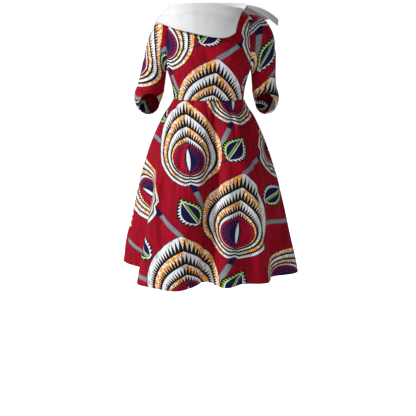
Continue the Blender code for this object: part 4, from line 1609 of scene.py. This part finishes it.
@dataclass
class Bodice:
    """Fitted bodice: a one-piece front and two back halves, with a boat neckline."""

    neck_half_width: float = 0.130
    neck_front_reach: float = 0.076
    neck_back_reach: float = 0.066
    neck_squareness: float = 3.6
    neck_side_height: float = -0.006
    neck_front_dip: float = 0.012
    neck_back_dip: float = 0.006
    armhole_mean_x: float = 0.1560
    armhole_lean: float = 0.0040
    armhole_front_reach: float = 0.058
    armhole_front_scoop: float = 0.006
    armhole_back_reach: float = 0.063
    armhole_back_scoop: float = -0.002
    bust_x: float = 0.082
    bust_height: float = -0.190
    bust_fullness: float = 0.007
    bust_spread_x: float = 0.045
    bust_spread_z: float = 0.050
    bust_edge_fade: int = 4
    lower_rows: int = 5
    armhole_rows: int = 9
    shoulder_share: float = 0.9
    print_narrowing: float = 0.87
    columns: int = 140
    row_steps: int = 8
    thickness: float = 0.0010
    unevenness: float = 0.0004

    def armhole(self, face: Face, clock: FloatArray) -> FloatArray:
        """Edge of the left armhole, by a clock angle that is zero at the underarm.

        The edge is an upright oval whose depth also swings with twice the clock.
        """
        middle = (ARMPIT_HEIGHT + SHOULDER_TIP_HEIGHT) / 2.0
        half_height = (SHOULDER_TIP_HEIGHT - ARMPIT_HEIGHT) / 2.0
        front = face is Face.FRONT
        reach = self.armhole_front_reach if front else self.armhole_back_reach
        scoop = self.armhole_front_scoop if front else self.armhole_back_scoop
        x = self.armhole_mean_x + self.armhole_lean * np.cos(clock)
        y = face.value * (reach * np.sin(clock) + scoop * np.sin(2.0 * clock))
        z = middle - half_height * np.cos(clock)
        return np.stack([x, y, z], axis=1)

    def torso_row(
        self, face: Face, height: float, edge: tuple[float, float], shares: FloatArray
    ) -> FloatArray:
        """One level row between the side or armhole edges, on a superellipse, fuller at the bust."""
        edge_x, edge_y = edge
        column = "front" if face is Face.FRONT else "back"
        depth = float(read_column(TORSO_ROWS, "height", column, height))
        closeness = (abs(edge_y) / depth) ** SQUARENESS
        half_width = edge_x / (1.0 - closeness) ** (1.0 / SQUARENESS)
        angles = shares * math.atan2(edge_x, abs(edge_y))
        radius = ring_radius(angles, half_width, depth)
        x = radius * np.sin(angles)
        y = face.value * radius * np.cos(angles)
        if face is Face.FRONT:
            sideways = (np.abs(x) - self.bust_x) / self.bust_spread_x
            upwards = (height - self.bust_height) / self.bust_spread_z
            bell = np.exp(-(sideways**2) - upwards**2)
            y = y - self.bust_fullness * bell * (1.0 - shares**self.bust_edge_fade)
        return np.stack([x, y, np.full_like(x, height)], axis=1)

    def neck_points(self, angles: FloatArray) -> FloatArray:
        """Points of the neckline at polar angles from the centre front to the wearer's left."""
        facing_front = np.cos(angles) > 0.0
        reach = np.where(facing_front, self.neck_front_reach, self.neck_back_reach)
        dip = np.where(facing_front, self.neck_front_dip, self.neck_back_dip)
        radius = ring_radius(angles, self.neck_half_width, reach, self.neck_squareness)
        height = self.neck_side_height - dip * np.abs(np.cos(angles))
        return np.stack([radius * np.sin(angles), -radius * np.cos(angles), height], axis=-1)

    def neck_row(self, face: Face, shares: FloatArray) -> FloatArray:
        """Top row: the neckline, and a straight shoulder seam at each end."""
        angles = np.clip(shares / self.shoulder_share, -1.0, 1.0) * math.pi / 2.0
        points = self.neck_points(angles if face is Face.FRONT else math.pi - angles)
        tip = self.armhole(face, np.array([math.pi]))[0]
        outwards = (np.abs(shares) - self.shoulder_share) / (1.0 - self.shoulder_share)
        on_seam = outwards >= 0.0
        across = np.sign(shares) * tip[0]
        tips = np.stack([across, np.zeros_like(shares), np.full_like(shares, tip[2])], axis=1)
        points[on_seam, 1] = 0.0
        blend = np.clip(outwards, 0.0, 1.0)[:, None]
        return np.where(on_seam[:, None], points * (1.0 - blend) + tips * blend, points)

    def grid(self, face: Face) -> Cloth:
        """One face of the bodice.

        A point's flat place is its length along the row from the middle, and the middle line's
        length up from the waist.
        """
        shares = np.linspace(-1.0, 1.0, self.columns + 1)
        heights = np.linspace(WAIST_HEIGHT, ARMPIT_HEIGHT, self.lower_rows + 1)[:-1]
        rows = []
        for height in heights:
            half_width = float(read_column(SIDE_ROWS, "height", "half_width", height))
            rows.append(self.torso_row(face, height, (half_width, 0.0), shares))
        clock = np.linspace(0.0, math.pi, self.armhole_rows + 1)
        for edge in self.armhole(face, clock)[:-1]:
            rows.append(self.torso_row(face, edge[2], (edge[0], edge[1]), shares))
        rows.append(self.neck_row(face, shares))
        points = np.array(rows) if face is Face.FRONT else np.array(rows)[:, ::-1]
        points = finer_rows(points, self.row_steps)
        walked = lengths_along(points, 1)
        middle = self.columns // 2
        u = walked - walked[:, middle : middle + 1]
        v = lengths_along(points, 0)[:, middle : middle + 1] + WAIST_HEIGHT
        return Cloth(points, np.stack([u, np.broadcast_to(v, u.shape)], axis=2))

    def worn(self, face: Face, cut: Spot, creases: Sequence[Crease]) -> Cloth:
        """One face with its creases and the hollows at its seams, placed on the printed cloth."""
        cloth = self.grid(face)
        u, v = cloth.flat[..., 0], cloth.flat[..., 1]
        height = crease_height(creases, u, v) + hand_of_cloth(u, v, self.unevenness)
        height = height + seam_groove(v - WAIST_HEIGHT)
        if face is Face.BACK:
            height = height + seam_groove(np.abs(u))
        cloth = cloth.raised(height)
        cloth.flat = np.stack([u * self.print_narrowing + cut.u, v + cut.v], axis=2)
        return cloth

    def build(self, finishes: Finishes) -> list[bpy.types.Object]:
        """Make the front and both back halves, each of which keeps to its own side of its seams."""
        front = self.worn(Face.FRONT, FRONT_BODICE_CUT, FRONT_BODICE_CREASES)
        back = self.worn(Face.BACK, BACK_BODICE_CUT, BACK_BODICE_CREASES)
        middle = self.columns // 2
        left, right = slice(0, middle + 1), slice(middle, None)
        before, behind = (1, Face.FRONT.value), (1, Face.BACK.value)
        left_walls = (behind, (0, Side.LEFT.value))
        right_walls = (behind, (0, Side.RIGHT.value))
        flat = (0.21, 0.36)
        pieces = []
        for name, node, cloth, columns, walls, flat, area in (
            ("front_bodice_cloth", "bodice_front", front, slice(None), (before,), (0.40, 0.36), 0.129),
            ("back_bodice_cloth_left", "bodice_back_left", back, left, left_walls, flat, 0.062),
            ("back_bodice_cloth_right", "bodice_back_right", back, right, right_walls, flat, 0.062),
        ):
            panel = Cloth(cloth.points[:, columns].copy(), cloth.flat[:, columns])
            thickness = np.full(panel.points.shape[:2], self.thickness)
            shell = ShellBuilder(panel, thickness, Edges(top=True), walls)
            piece = shell.build(name, finishes.print_cloth)
            pieces.append(declare(piece, node))
        return pieces


class SkirtPanel(NamedTuple):
    """One piece of the skirt.

    It takes some quarters of the closed rows, from a first one on. Its flat origin lies a number
    of quarters from its own start.
    """

    name: str
    node: str
    first: int
    quarters: int
    origin: int
    cut: Spot
    flat: tuple[float, float]
    area: float
    creases: Sequence[Crease]


SKIRT_PANELS = (
    SkirtPanel(
        name="skirt_front_cloth",
        node="skirt_front",
        first=3,
        quarters=2,
        origin=1,
        cut=SKIRT_FRONT_CUT,
        flat=(1.18, 0.76),
        area=0.564,
        creases=SKIRT_FRONT_CREASES,
    ),
    SkirtPanel(
        name="skirt_back_cloth_left",
        node="skirt_back_left",
        first=1,
        quarters=1,
        origin=1,
        cut=SKIRT_BACK_CUT,
        flat=(0.62, 0.75),
        area=0.281,
        creases=SKIRT_LEFT_CREASES,
    ),
    SkirtPanel(
        name="skirt_back_cloth_right",
        node="skirt_back_right",
        first=2,
        quarters=1,
        origin=0,
        cut=SKIRT_BACK_CUT,
        flat=(0.62, 0.75),
        area=0.280,
        creases=SKIRT_RIGHT_CREASES,
    ),
)


@dataclass
class Skirt:
    """Flared skirt that hangs in deep folds, a one-piece front and two back halves."""

    columns: int = 576
    rows: int = 121
    row_crowding: float = 1.20
    hem_mean_height: float = -1.018
    fold_growth_power: float = 1.15
    thickness: float = 0.0010
    hem_depth: float = 0.022
    print_widening: float = 0.43
    unevenness: float = 0.0007
    seam_fade: float = 0.02

    def fold_profile(self, angles: FloatArray, share: float) -> tuple[FloatArray, FloatArray]:
        """Extra radius and hem height at polar angles (degrees), at one share of the length.

        Between a crest and the next valley the radius follows half a cosine wave.
        """
        waist = np.array([fold.waist_angle for fold in FOLDS])
        hem = np.array([fold.hem_angle for fold in FOLDS])
        centres = waist + (hem - waist) * share
        last = SKIRT_ROWS_BY_HEIGHT[-1]
        base = ring_radius(np.radians(hem), last.half_width, last.front)
        growth = np.array([max(0.0, (share - fold.start) / (1.0 - fold.start)) for fold in FOLDS])
        depths = (np.array([fold.radius for fold in FOLDS]) - base) * growth**self.fold_growth_power
        heights = np.array([fold.height for fold in FOLDS])
        centres = np.append(centres, centres[0] + 360.0)
        depths = np.append(depths, depths[0])
        heights = np.append(heights, heights[0])
        turned = (angles - centres[0]) % 360.0 + centres[0]
        index = np.clip(np.searchsorted(centres, turned, side="right") - 1, 0, len(FOLDS) - 1)
        between = (turned - centres[index]) / (centres[index + 1] - centres[index])
        ease = (1.0 - np.cos(math.pi * between)) / 2.0
        extra = depths[index] * (1.0 - ease) + depths[index + 1] * ease
        height = heights[index] * (1.0 - ease) + heights[index + 1] * ease
        return extra, height

    def ring(self, share: float) -> FloatArray:
        """One closed row, from the centre front to the left, with its first point again at the end."""
        angles = np.arange(self.columns + 1) * 360.0 / self.columns
        extra, hem_height = self.fold_profile(angles, share)
        top = WAIST_HEIGHT - SEAM_GAP
        height = top + share * (hem_height - top)
        level = WAIST_HEIGHT + share * (self.hem_mean_height - WAIST_HEIGHT)
        half_width, front, back = (
            float(read_column(SKIRT_ROWS_BY_HEIGHT, "height", column, level))
            for column in ("half_width", "front", "back")
        )
        turn = np.radians(angles)
        depth = np.where(np.cos(turn) > 0.0, front, back)
        radius = ring_radius(turn, half_width, depth) + extra
        return np.stack([radius * np.sin(turn), -radius * np.cos(turn), height], axis=1)

    def build(self, finishes: Finishes) -> list[bpy.types.Object]:
        """Make the front and both back halves.

        A point's flat place is its length along its row from the middle of the front or back, and
        the mean length down from the waist. The print is wider low on the skirt, as if its folds
        took up less of it there.
        """
        shares = np.linspace(1.0, 0.0, self.rows) ** self.row_crowding
        ring = Cloth(np.array([self.ring(share) for share in shares]), np.zeros(1), True)
        down = lengths_along(ring.points, 0)
        drop = down[:, :-1].mean(axis=1) - down[-1, :-1].mean()
        quarter = self.columns // 4
        around = np.concatenate([ring.points[:, :-1]] * 2, axis=1)
        pieces = []
        for panel in SKIRT_PANELS:
            start, stop = panel.first * quarter, (panel.first + panel.quarters) * quarter + 1
            points = around[:, start:stop].copy()
            walked = lengths_along(points, 1)
            seat = panel.origin * quarter
            u = walked - walked[:, seat : seat + 1]
            v = np.broadcast_to(drop[:, None], u.shape)
            cloth = Cloth(points, np.stack([u, v], axis=2))
            beside = np.minimum(walked, walked[:, -1:] - walked)
            fade = np.clip(beside / self.seam_fade, 0.0, 1.0)
            height = fade * (crease_height(panel.creases, u, v) + hand_of_cloth(u, v, self.unevenness))
            cloth = cloth.raised(height + seam_groove(beside) + seam_groove(v))
            along = np.gradient(cloth.points, axis=1)
            along = along / np.linalg.norm(along, axis=2, keepdims=True)
            cloth.points[:, 0] += along[:, 0] * SEAM_GAP / 2.0
            cloth.points[:, -1] -= along[:, -1] * SEAM_GAP / 2.0
            widened = u * (1.0 + self.print_widening * v)
            cloth.flat = np.stack([widened + panel.cut.u, v + panel.cut.v], axis=2)
            thickness = hem_thickness(self.thickness, self.hem_depth, v - v.min())
            shell = ShellBuilder(cloth, thickness, Edges(bottom=True))
            piece = shell.build(panel.name, finishes.print_cloth)
            line = line_beside(cloth, Rim.BOTTOM, self.hem_depth)
            name = f"{panel.node}_hem_stitches"
            sewing = HEM_STITCHING.build(name, [line], finishes.print_thread, "print")
            pieces.append(declare(piece, panel.node))
        return pieces


@dataclass
class Sleeve:
    """Set-in sleeve to the elbow, bent forwards, open at the armhole and at the cuff.

    Attributes:
        side: The wearer's side.
        arm: Rings above the elbow.
        elbow: Rings round the elbow.
        turn: Degrees that the forearm turns inwards at the cuff.
        cut: Where it is cut from the printed cloth.
        creases: Its creases.
        area: Area of the cut. Not used.
        print_share: Width of the print as a share of its width on flat cloth.
        grain_lean: How far the print leans sideways for each metre down.
    """

    side: Side
    arm: list[ArmRow]
    elbow: list[ElbowRow]
    turn: float
    cut: Spot
    creases: list[Crease]
    area: float
    print_share: float
    grain_lean: float
    bend_radius: float = 0.0600
    scoop_rings: int = 4
    columns: int = 120
    row_steps: int = 8
    thickness: float = 0.0010
    hem_depth: float = 0.018
    grain_height: float = -0.200
    seam_fade: float = 0.015
    top_fade: float = 0.02

    def ring(
        self, centre: FloatArray, across: FloatArray, front_way: FloatArray, front: float, back: float
    ) -> FloatArray:
        """One ring from the side next to the body, round the front to the outside and back."""
        clock = np.arange(self.columns + 1) * 2.0 * math.pi / self.columns
        depth = np.where(np.sin(clock) > 0.0, front, back)
        return centre - np.cos(clock)[:, None] * across + (depth * np.sin(clock))[:, None] * front_way

    def armhole_ring(self, bodice: Bodice) -> FloatArray:
        """First ring, on the armhole's edge and a seam's gap outside it."""
        clock = np.linspace(0.0, math.pi, self.columns // 2 + 1)
        front = bodice.armhole(Face.FRONT, clock)
        back = bodice.armhole(Face.BACK, clock)
        ring = np.concatenate([front, back[-2::-1]])
        ring[:, 0] += SLEEVE_SEAM_GAP
        ring[:, 0] *= self.side.value
        return ring

    def grid(self, bodice: Bodice) -> Cloth:
        """Outer face from the cuff up.

        Above the elbow the rings are ovals between their outer and inner points. Round the elbow
        they turn about a level axis in front of the arm. A point's flat place is its length round
        the ring from the outer line, and its own column's length down from the armhole.
        """
        side = self.side.value
        forward = np.array([0.0, -1.0, 0.0])
        first = self.armhole_ring(bodice)
        half = self.columns // 2
        centre = (first[0] + first[half]) / 2.0
        across = (first[half] - first[0]) / 2.0
        reach = (bodice.armhole_front_reach, bodice.armhole_back_reach)
        scoop = first - self.ring(centre, across, forward, *reach)
        rings = [first]
        for number, row in enumerate(self.arm):
            outer = np.array([side * row.outer_x, 0.0, row.outer_z])
            inner = np.array([side * row.inner_x, 0.0, row.inner_z])
            ring = self.ring((outer + inner) / 2.0, (outer - inner) / 2.0, forward, row.front, row.back)
            rings.append(ring + scoop * max(0.0, 1.0 - (number + 1) / self.scoop_rings))
        last = self.arm[-1]
        pivot = np.array([side * (last.outer_x + last.inner_x) / 2.0, 0.0, last.outer_z])
        pivot = pivot + self.bend_radius * forward
        for row in self.elbow:
            turn = math.radians(self.turn * row.bend / self.elbow[-1].bend)
            bend = math.radians(row.bend)
            level_way = np.array([-side * math.sin(turn), -math.cos(turn), 0.0])
            across = np.array([side * math.cos(turn), -math.sin(turn), 0.0]) * row.half_width
            front_way = level_way * math.cos(bend) + np.array([0.0, 0.0, math.sin(bend)])
            centre = pivot - self.bend_radius * front_way
            rings.append(self.ring(centre, across, front_way, row.front, row.back))
        points = finer_rows(np.array(rings), self.row_steps)[::-1]
        if self.side is Side.RIGHT:
            points = points[:, ::-1]
        walked = lengths_along(points, 1)
        u = walked - walked[:, half : half + 1]
        down = lengths_along(points[::-1], 0)[::-1]
        v = points[-1:, :, 2] - down
        return Cloth(points, np.stack([u, v], axis=2), True)

    def build(self, bodice: Bodice, finishes: Finishes) -> list[bpy.types.Object]:
        """Make the sleeve."""
        word = self.side.name.lower()
        cloth = self.grid(bodice)
        u, v = cloth.flat[..., 0], cloth.flat[..., 1]
        height = crease_height(self.creases, u, v)
        off_seam = np.abs(u).max(axis=1, keepdims=True) - np.abs(u)
        seam = np.clip(off_seam / self.seam_fade, 0.0, 1.0)
        top = lengths_along(cloth.points[::-1], 0)[::-1]
        cuff = lengths_along(cloth.points, 0)
        ease = np.clip(top / self.top_fade, 0.0, 1.0)
        cloth = cloth.raised(height * seam * ease + seam_groove(top))
        leaning = self.grain_lean * (v - self.grain_height)
        cloth.flat = np.stack([u * self.print_share + self.cut.u - leaning, v + self.cut.v], axis=2)
        thickness = hem_thickness(self.thickness, self.hem_depth, cuff)
        shell = ShellBuilder(cloth, thickness, Edges(bottom=True))
        piece = shell.build(f"sleeve_cloth_{word}", finishes.print_cloth)
        line = line_beside(cloth, Rim.BOTTOM, self.hem_depth)
        name = f"cuff_stitches_{word}"
        sewing = CUFF_STITCHING.build(name, [line], finishes.print_thread, "print")
        return [declare(piece, f"sleeve_{word}")]


LEFT_SLEEVE = Sleeve(
    side=Side.LEFT,
    arm=LEFT_ARM,
    elbow=LEFT_ELBOW,
    turn=16.0,
    cut=LEFT_SLEEVE_CUT,
    creases=LEFT_SLEEVE_CREASES,
    area=0.098,
    print_share=0.60,
    grain_lean=0.16,
)
RIGHT_SLEEVE = Sleeve(
    side=Side.RIGHT,
    arm=RIGHT_ARM,
    elbow=RIGHT_ELBOW,
    turn=22.0,
    cut=RIGHT_SLEEVE_CUT,
    creases=RIGHT_SLEEVE_CREASES,
    area=0.093,
    print_share=0.70,
    grain_lean=0.0,
)


@dataclass
class Collar:
    """Wide white band, folded over at the neck and open at the wearer's left shoulder.

    Creases ease in over the first rows of the fall. The band is pinched thinner where its first
    sections roll over, about a third of the way round the roll.
    """

    stations: int = 281
    stand_lift: float = 0.0010
    roll_radius: float = 0.0040
    stand_rows: int = 8
    roll_rows: int = 14
    fall_rows: int = 44
    easing_rows: float = 6.0
    pinch: float = 0.65
    pinch_part: float = 3.0
    pinch_rows: float = 5.0
    pinch_columns: float = 9.0
    thickness: float = 0.0022
    stitch_inset: float = 0.0055

    def section(self, bodice: Bodice, angle: float) -> FloatArray:
        """Points across the collar: up the stand, round half a circle and down the bulging fall."""
        names = ("fold_x", "fold_y", "fold_z", "edge_x", "edge_y", "edge_z", "bulge")
        station = np.array([float(read_column(COLLAR_STATIONS, "angle", name, angle)) for name in names])
        fold, edge, bulge = station[0:3], station[3:6], station[6]
        up = np.array([0.0, 0.0, 1.0])
        base = bodice.neck_points(np.array(math.radians(-angle))) + self.stand_lift * up
        level = np.array([edge[0] - fold[0], edge[1] - fold[1], 0.0])
        outward = level / np.linalg.norm(level)
        centre = fold - self.roll_radius * up
        foot = centre - self.roll_radius * outward
        rise = (np.arange(self.stand_rows) / self.stand_rows)[:, None]
        stand = base * (1.0 - rise) + foot * rise
        lean = (math.pi * (1.0 - np.arange(self.roll_rows) / self.roll_rows))[:, None]
        roll = centre + self.roll_radius * (np.cos(lean) * outward + np.sin(lean) * up)
        fall_way = edge - fold
        stand_off = np.cross(np.cross(fall_way, up), fall_way)
        stand_off = stand_off / np.linalg.norm(stand_off)
        start = centre + self.roll_radius * outward
        share = (np.arange(self.fall_rows + 1) / self.fall_rows)[:, None]
        hump = 1.0 - (2.0 * share - 1.0) ** 2
        fall = start + share * (edge - start) + bulge * hump * stand_off
        return np.concatenate([stand, roll, fall])

    def build(self, bodice: Bodice, finishes: Finishes) -> list[bpy.types.Object]:
        """Make the collar, with its middle surface on the solid's."""
        angles = np.linspace(COLLAR_STATIONS[0].angle, COLLAR_STATIONS[-1].angle, self.stations)
        points = np.array([self.section(bodice, angle) for angle in angles]).transpose(1, 0, 2)
        u = lengths_along(points, 1).mean(axis=0, keepdims=True)
        v = lengths_along(points, 0)
        cloth = Cloth(points, np.stack([np.broadcast_to(u, v.shape), v], axis=2))
        rows_down = np.arange(len(points))[:, None] - self.stand_rows - self.roll_rows
        on_fall = np.clip(rows_down / self.easing_rows, 0.0, 1.0)
        height = on_fall * crease_height(COLLAR_CREASES, cloth.flat[..., 0], cloth.flat[..., 1])
        cloth = cloth.raised(self.thickness / 2.0 + height)
        pinched_row = self.stand_rows + self.roll_rows / self.pinch_part
        rows_off = (np.arange(len(points))[:, None] - pinched_row) / self.pinch_rows
        columns_off = np.arange(self.stations)[None] / self.pinch_columns
        pinched = np.exp(-(rows_off**2) - columns_off**2)
        thickness = self.thickness * (1.0 - self.pinch * pinched)
        shell = ShellBuilder(cloth, thickness, Edges(top=True, start=True, end=True))
        piece = shell.build("collar_cloth", finishes.white_cloth)
        rims = (Rim.TOP, Rim.START, Rim.END)
        lines = [line_beside(cloth, rim, self.stitch_inset) for rim in rims]
        first = self.stand_rows + self.roll_rows
        lines[1:] = [line[first:] for line in lines[1:]]
        sewing = COLLAR_STITCHING.build("collar_stitches", lines, finishes.white_thread, "white")
        return [declare(piece, "collar")]


def declare(
    piece: bpy.types.Object,
    node: str,
) -> bpy.types.Object:
    """Let a piece of cloth stand for its solid and ride with the dress.

    Args:
        piece: The finished shell.
        node: The solid that it replaces.

    Returns:
        The same piece.
    """
    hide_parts(node)
    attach(piece, "root")
    "white" if node == "collar" else "print"
    return piece


class Lamp(NamedTuple):
    """One square soft lamp."""

    name: str
    place: tuple[float, float, float]
    size: float
    power: float


@dataclass(frozen=True)
class Studio:
    """Pale floor, soft light and the camera at the photograph's angle."""

    lamps: tuple[Lamp, ...] = (
        Lamp("key", (-3.4, -1.5, 1.6), 0.7, 185.0),
        Lamp("fill", (0.6, -3.8, 0.6), 1.6, 20.0),
        Lamp("back", (0.8, 3.4, 1.8), 2.2, 70.0),
    )
    lamp_aim: tuple[float, float, float] = (0.0, 0.0, -0.5)
    floor_height: float = -1.66
    floor_reach: float = 90.0
    floor_grey: float = 0.93
    floor_roughness: float = 0.9
    camera_place: tuple[float, float, float] = (-0.0026, -3.2, 0.0)
    camera_pitch: float = 76.4
    lens: float = 70.96
    sensor_width: float = 36.0
    room_light: float = 0.18
    floor_glow: float = 0.20

    @staticmethod
    def seen_white(tree: bpy.types.NodeTree, strength: bpy.types.NodeSocket, light: float) -> None:
        """Make a glow look full white where the camera sees it, and light the dress only this much."""
        path = tree.nodes.new("ShaderNodeLightPath")
        seen = Signal(tree, path.outputs["Is Camera Ray"])
        tree.links.new((seen * (1.0 - light) + light).socket, strength)

    def floor(self) -> None:
        """Lay a large pale floor."""
        reach = self.floor_reach
        corners = [(-reach, -reach), (reach, -reach), (reach, reach), (-reach, reach)]
        mesh = bpy.data.meshes.new("pale_floor")
        mesh.from_pydata([(x, y, self.floor_height) for x, y in corners], [], [(0, 1, 2, 3)])
        material = bpy.data.materials.new("pale_floor")
        material.use_nodes = True
        shader = material.node_tree.nodes["Principled BSDF"]
        shader.inputs["Base Color"].default_value = (*[self.floor_grey] * 3, 1.0)
        shader.inputs["Roughness"].default_value = self.floor_roughness
        shader.inputs["Emission Color"].default_value = (1.0, 1.0, 1.0, 1.0)
        self.seen_white(material.node_tree, shader.inputs["Emission Strength"], self.floor_glow)
        mesh.materials.append(material)
        item = bpy.data.objects.new("pale_floor", mesh)
        bpy.context.scene.collection.objects.link(item)

    def hang(self, lamp: Lamp) -> None:
        """Hang a lamp so that it faces the dress."""
        light = bpy.data.lights.new(lamp.name, "AREA")
        light.size = lamp.size
        light.energy = lamp.power
        item = bpy.data.objects.new(lamp.name, light)
        item.location = lamp.place
        aim = np.array(self.lamp_aim) - np.array(lamp.place)
        level = math.hypot(aim[0], aim[1])
        item.rotation_euler = (math.atan2(level, -aim[2]), 0.0, math.atan2(-aim[0], aim[1]))
        bpy.context.scene.collection.objects.link(item)

    def light(self) -> None:
        """Light the dress from the wearer's right, a little from the front and from behind."""
        for lamp in self.lamps:
            self.hang(lamp)
        world = bpy.data.worlds.new("white_room")
        world.use_nodes = True
        tree = world.node_tree
        room = tree.nodes["Background"]
        room.inputs["Color"].default_value = (1.0, 1.0, 1.0, 1.0)
        self.seen_white(tree, room.inputs["Strength"], self.room_light)
        bpy.context.scene.world = world
        bpy.context.scene.view_settings.view_transform = "Standard"

    def camera(self) -> None:
        """Stand the camera before the dress, at neck height, looking a little down."""
        camera = bpy.data.cameras.new("camera")
        camera.lens = self.lens
        camera.sensor_width = self.sensor_width
        item = bpy.data.objects.new("camera", camera)
        item.location = self.camera_place
        item.rotation_euler = (math.radians(self.camera_pitch), 0.0, 0.0)
        bpy.context.scene.collection.objects.link(item)
        bpy.context.scene.camera = item


def main() -> None:
    """Build the dress and the studio."""
    logging.basicConfig(level=logging.INFO, format="%(name)s: %(message)s")
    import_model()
    studio = Studio()
    studio.camera()
    studio.light()
    studio.floor()
    finishes = Finishes(
        print_cloth=WaxPrint().material("wax_print_cotton"),
        print_thread=Thread((0.300, 0.004, 0.020)).material("crimson_thread"),
        white_cloth=WhiteCloth().material("white_collar_cloth"),
        white_thread=Thread((0.640, 0.640, 0.650)).material("white_thread"),
    )
    bodice = Bodice()
    pieces = bodice.build(finishes)
    pieces += LEFT_SLEEVE.build(bodice, finishes)
    pieces += RIGHT_SLEEVE.build(bodice, finishes)
    pieces += Skirt().build(finishes)
    pieces += Collar().build(bodice, finishes)
    for piece in pieces:
        LOG.info("%s: %d faces", piece.name, len(piece.data.polygons))


if __name__ == "__main__":
    main()
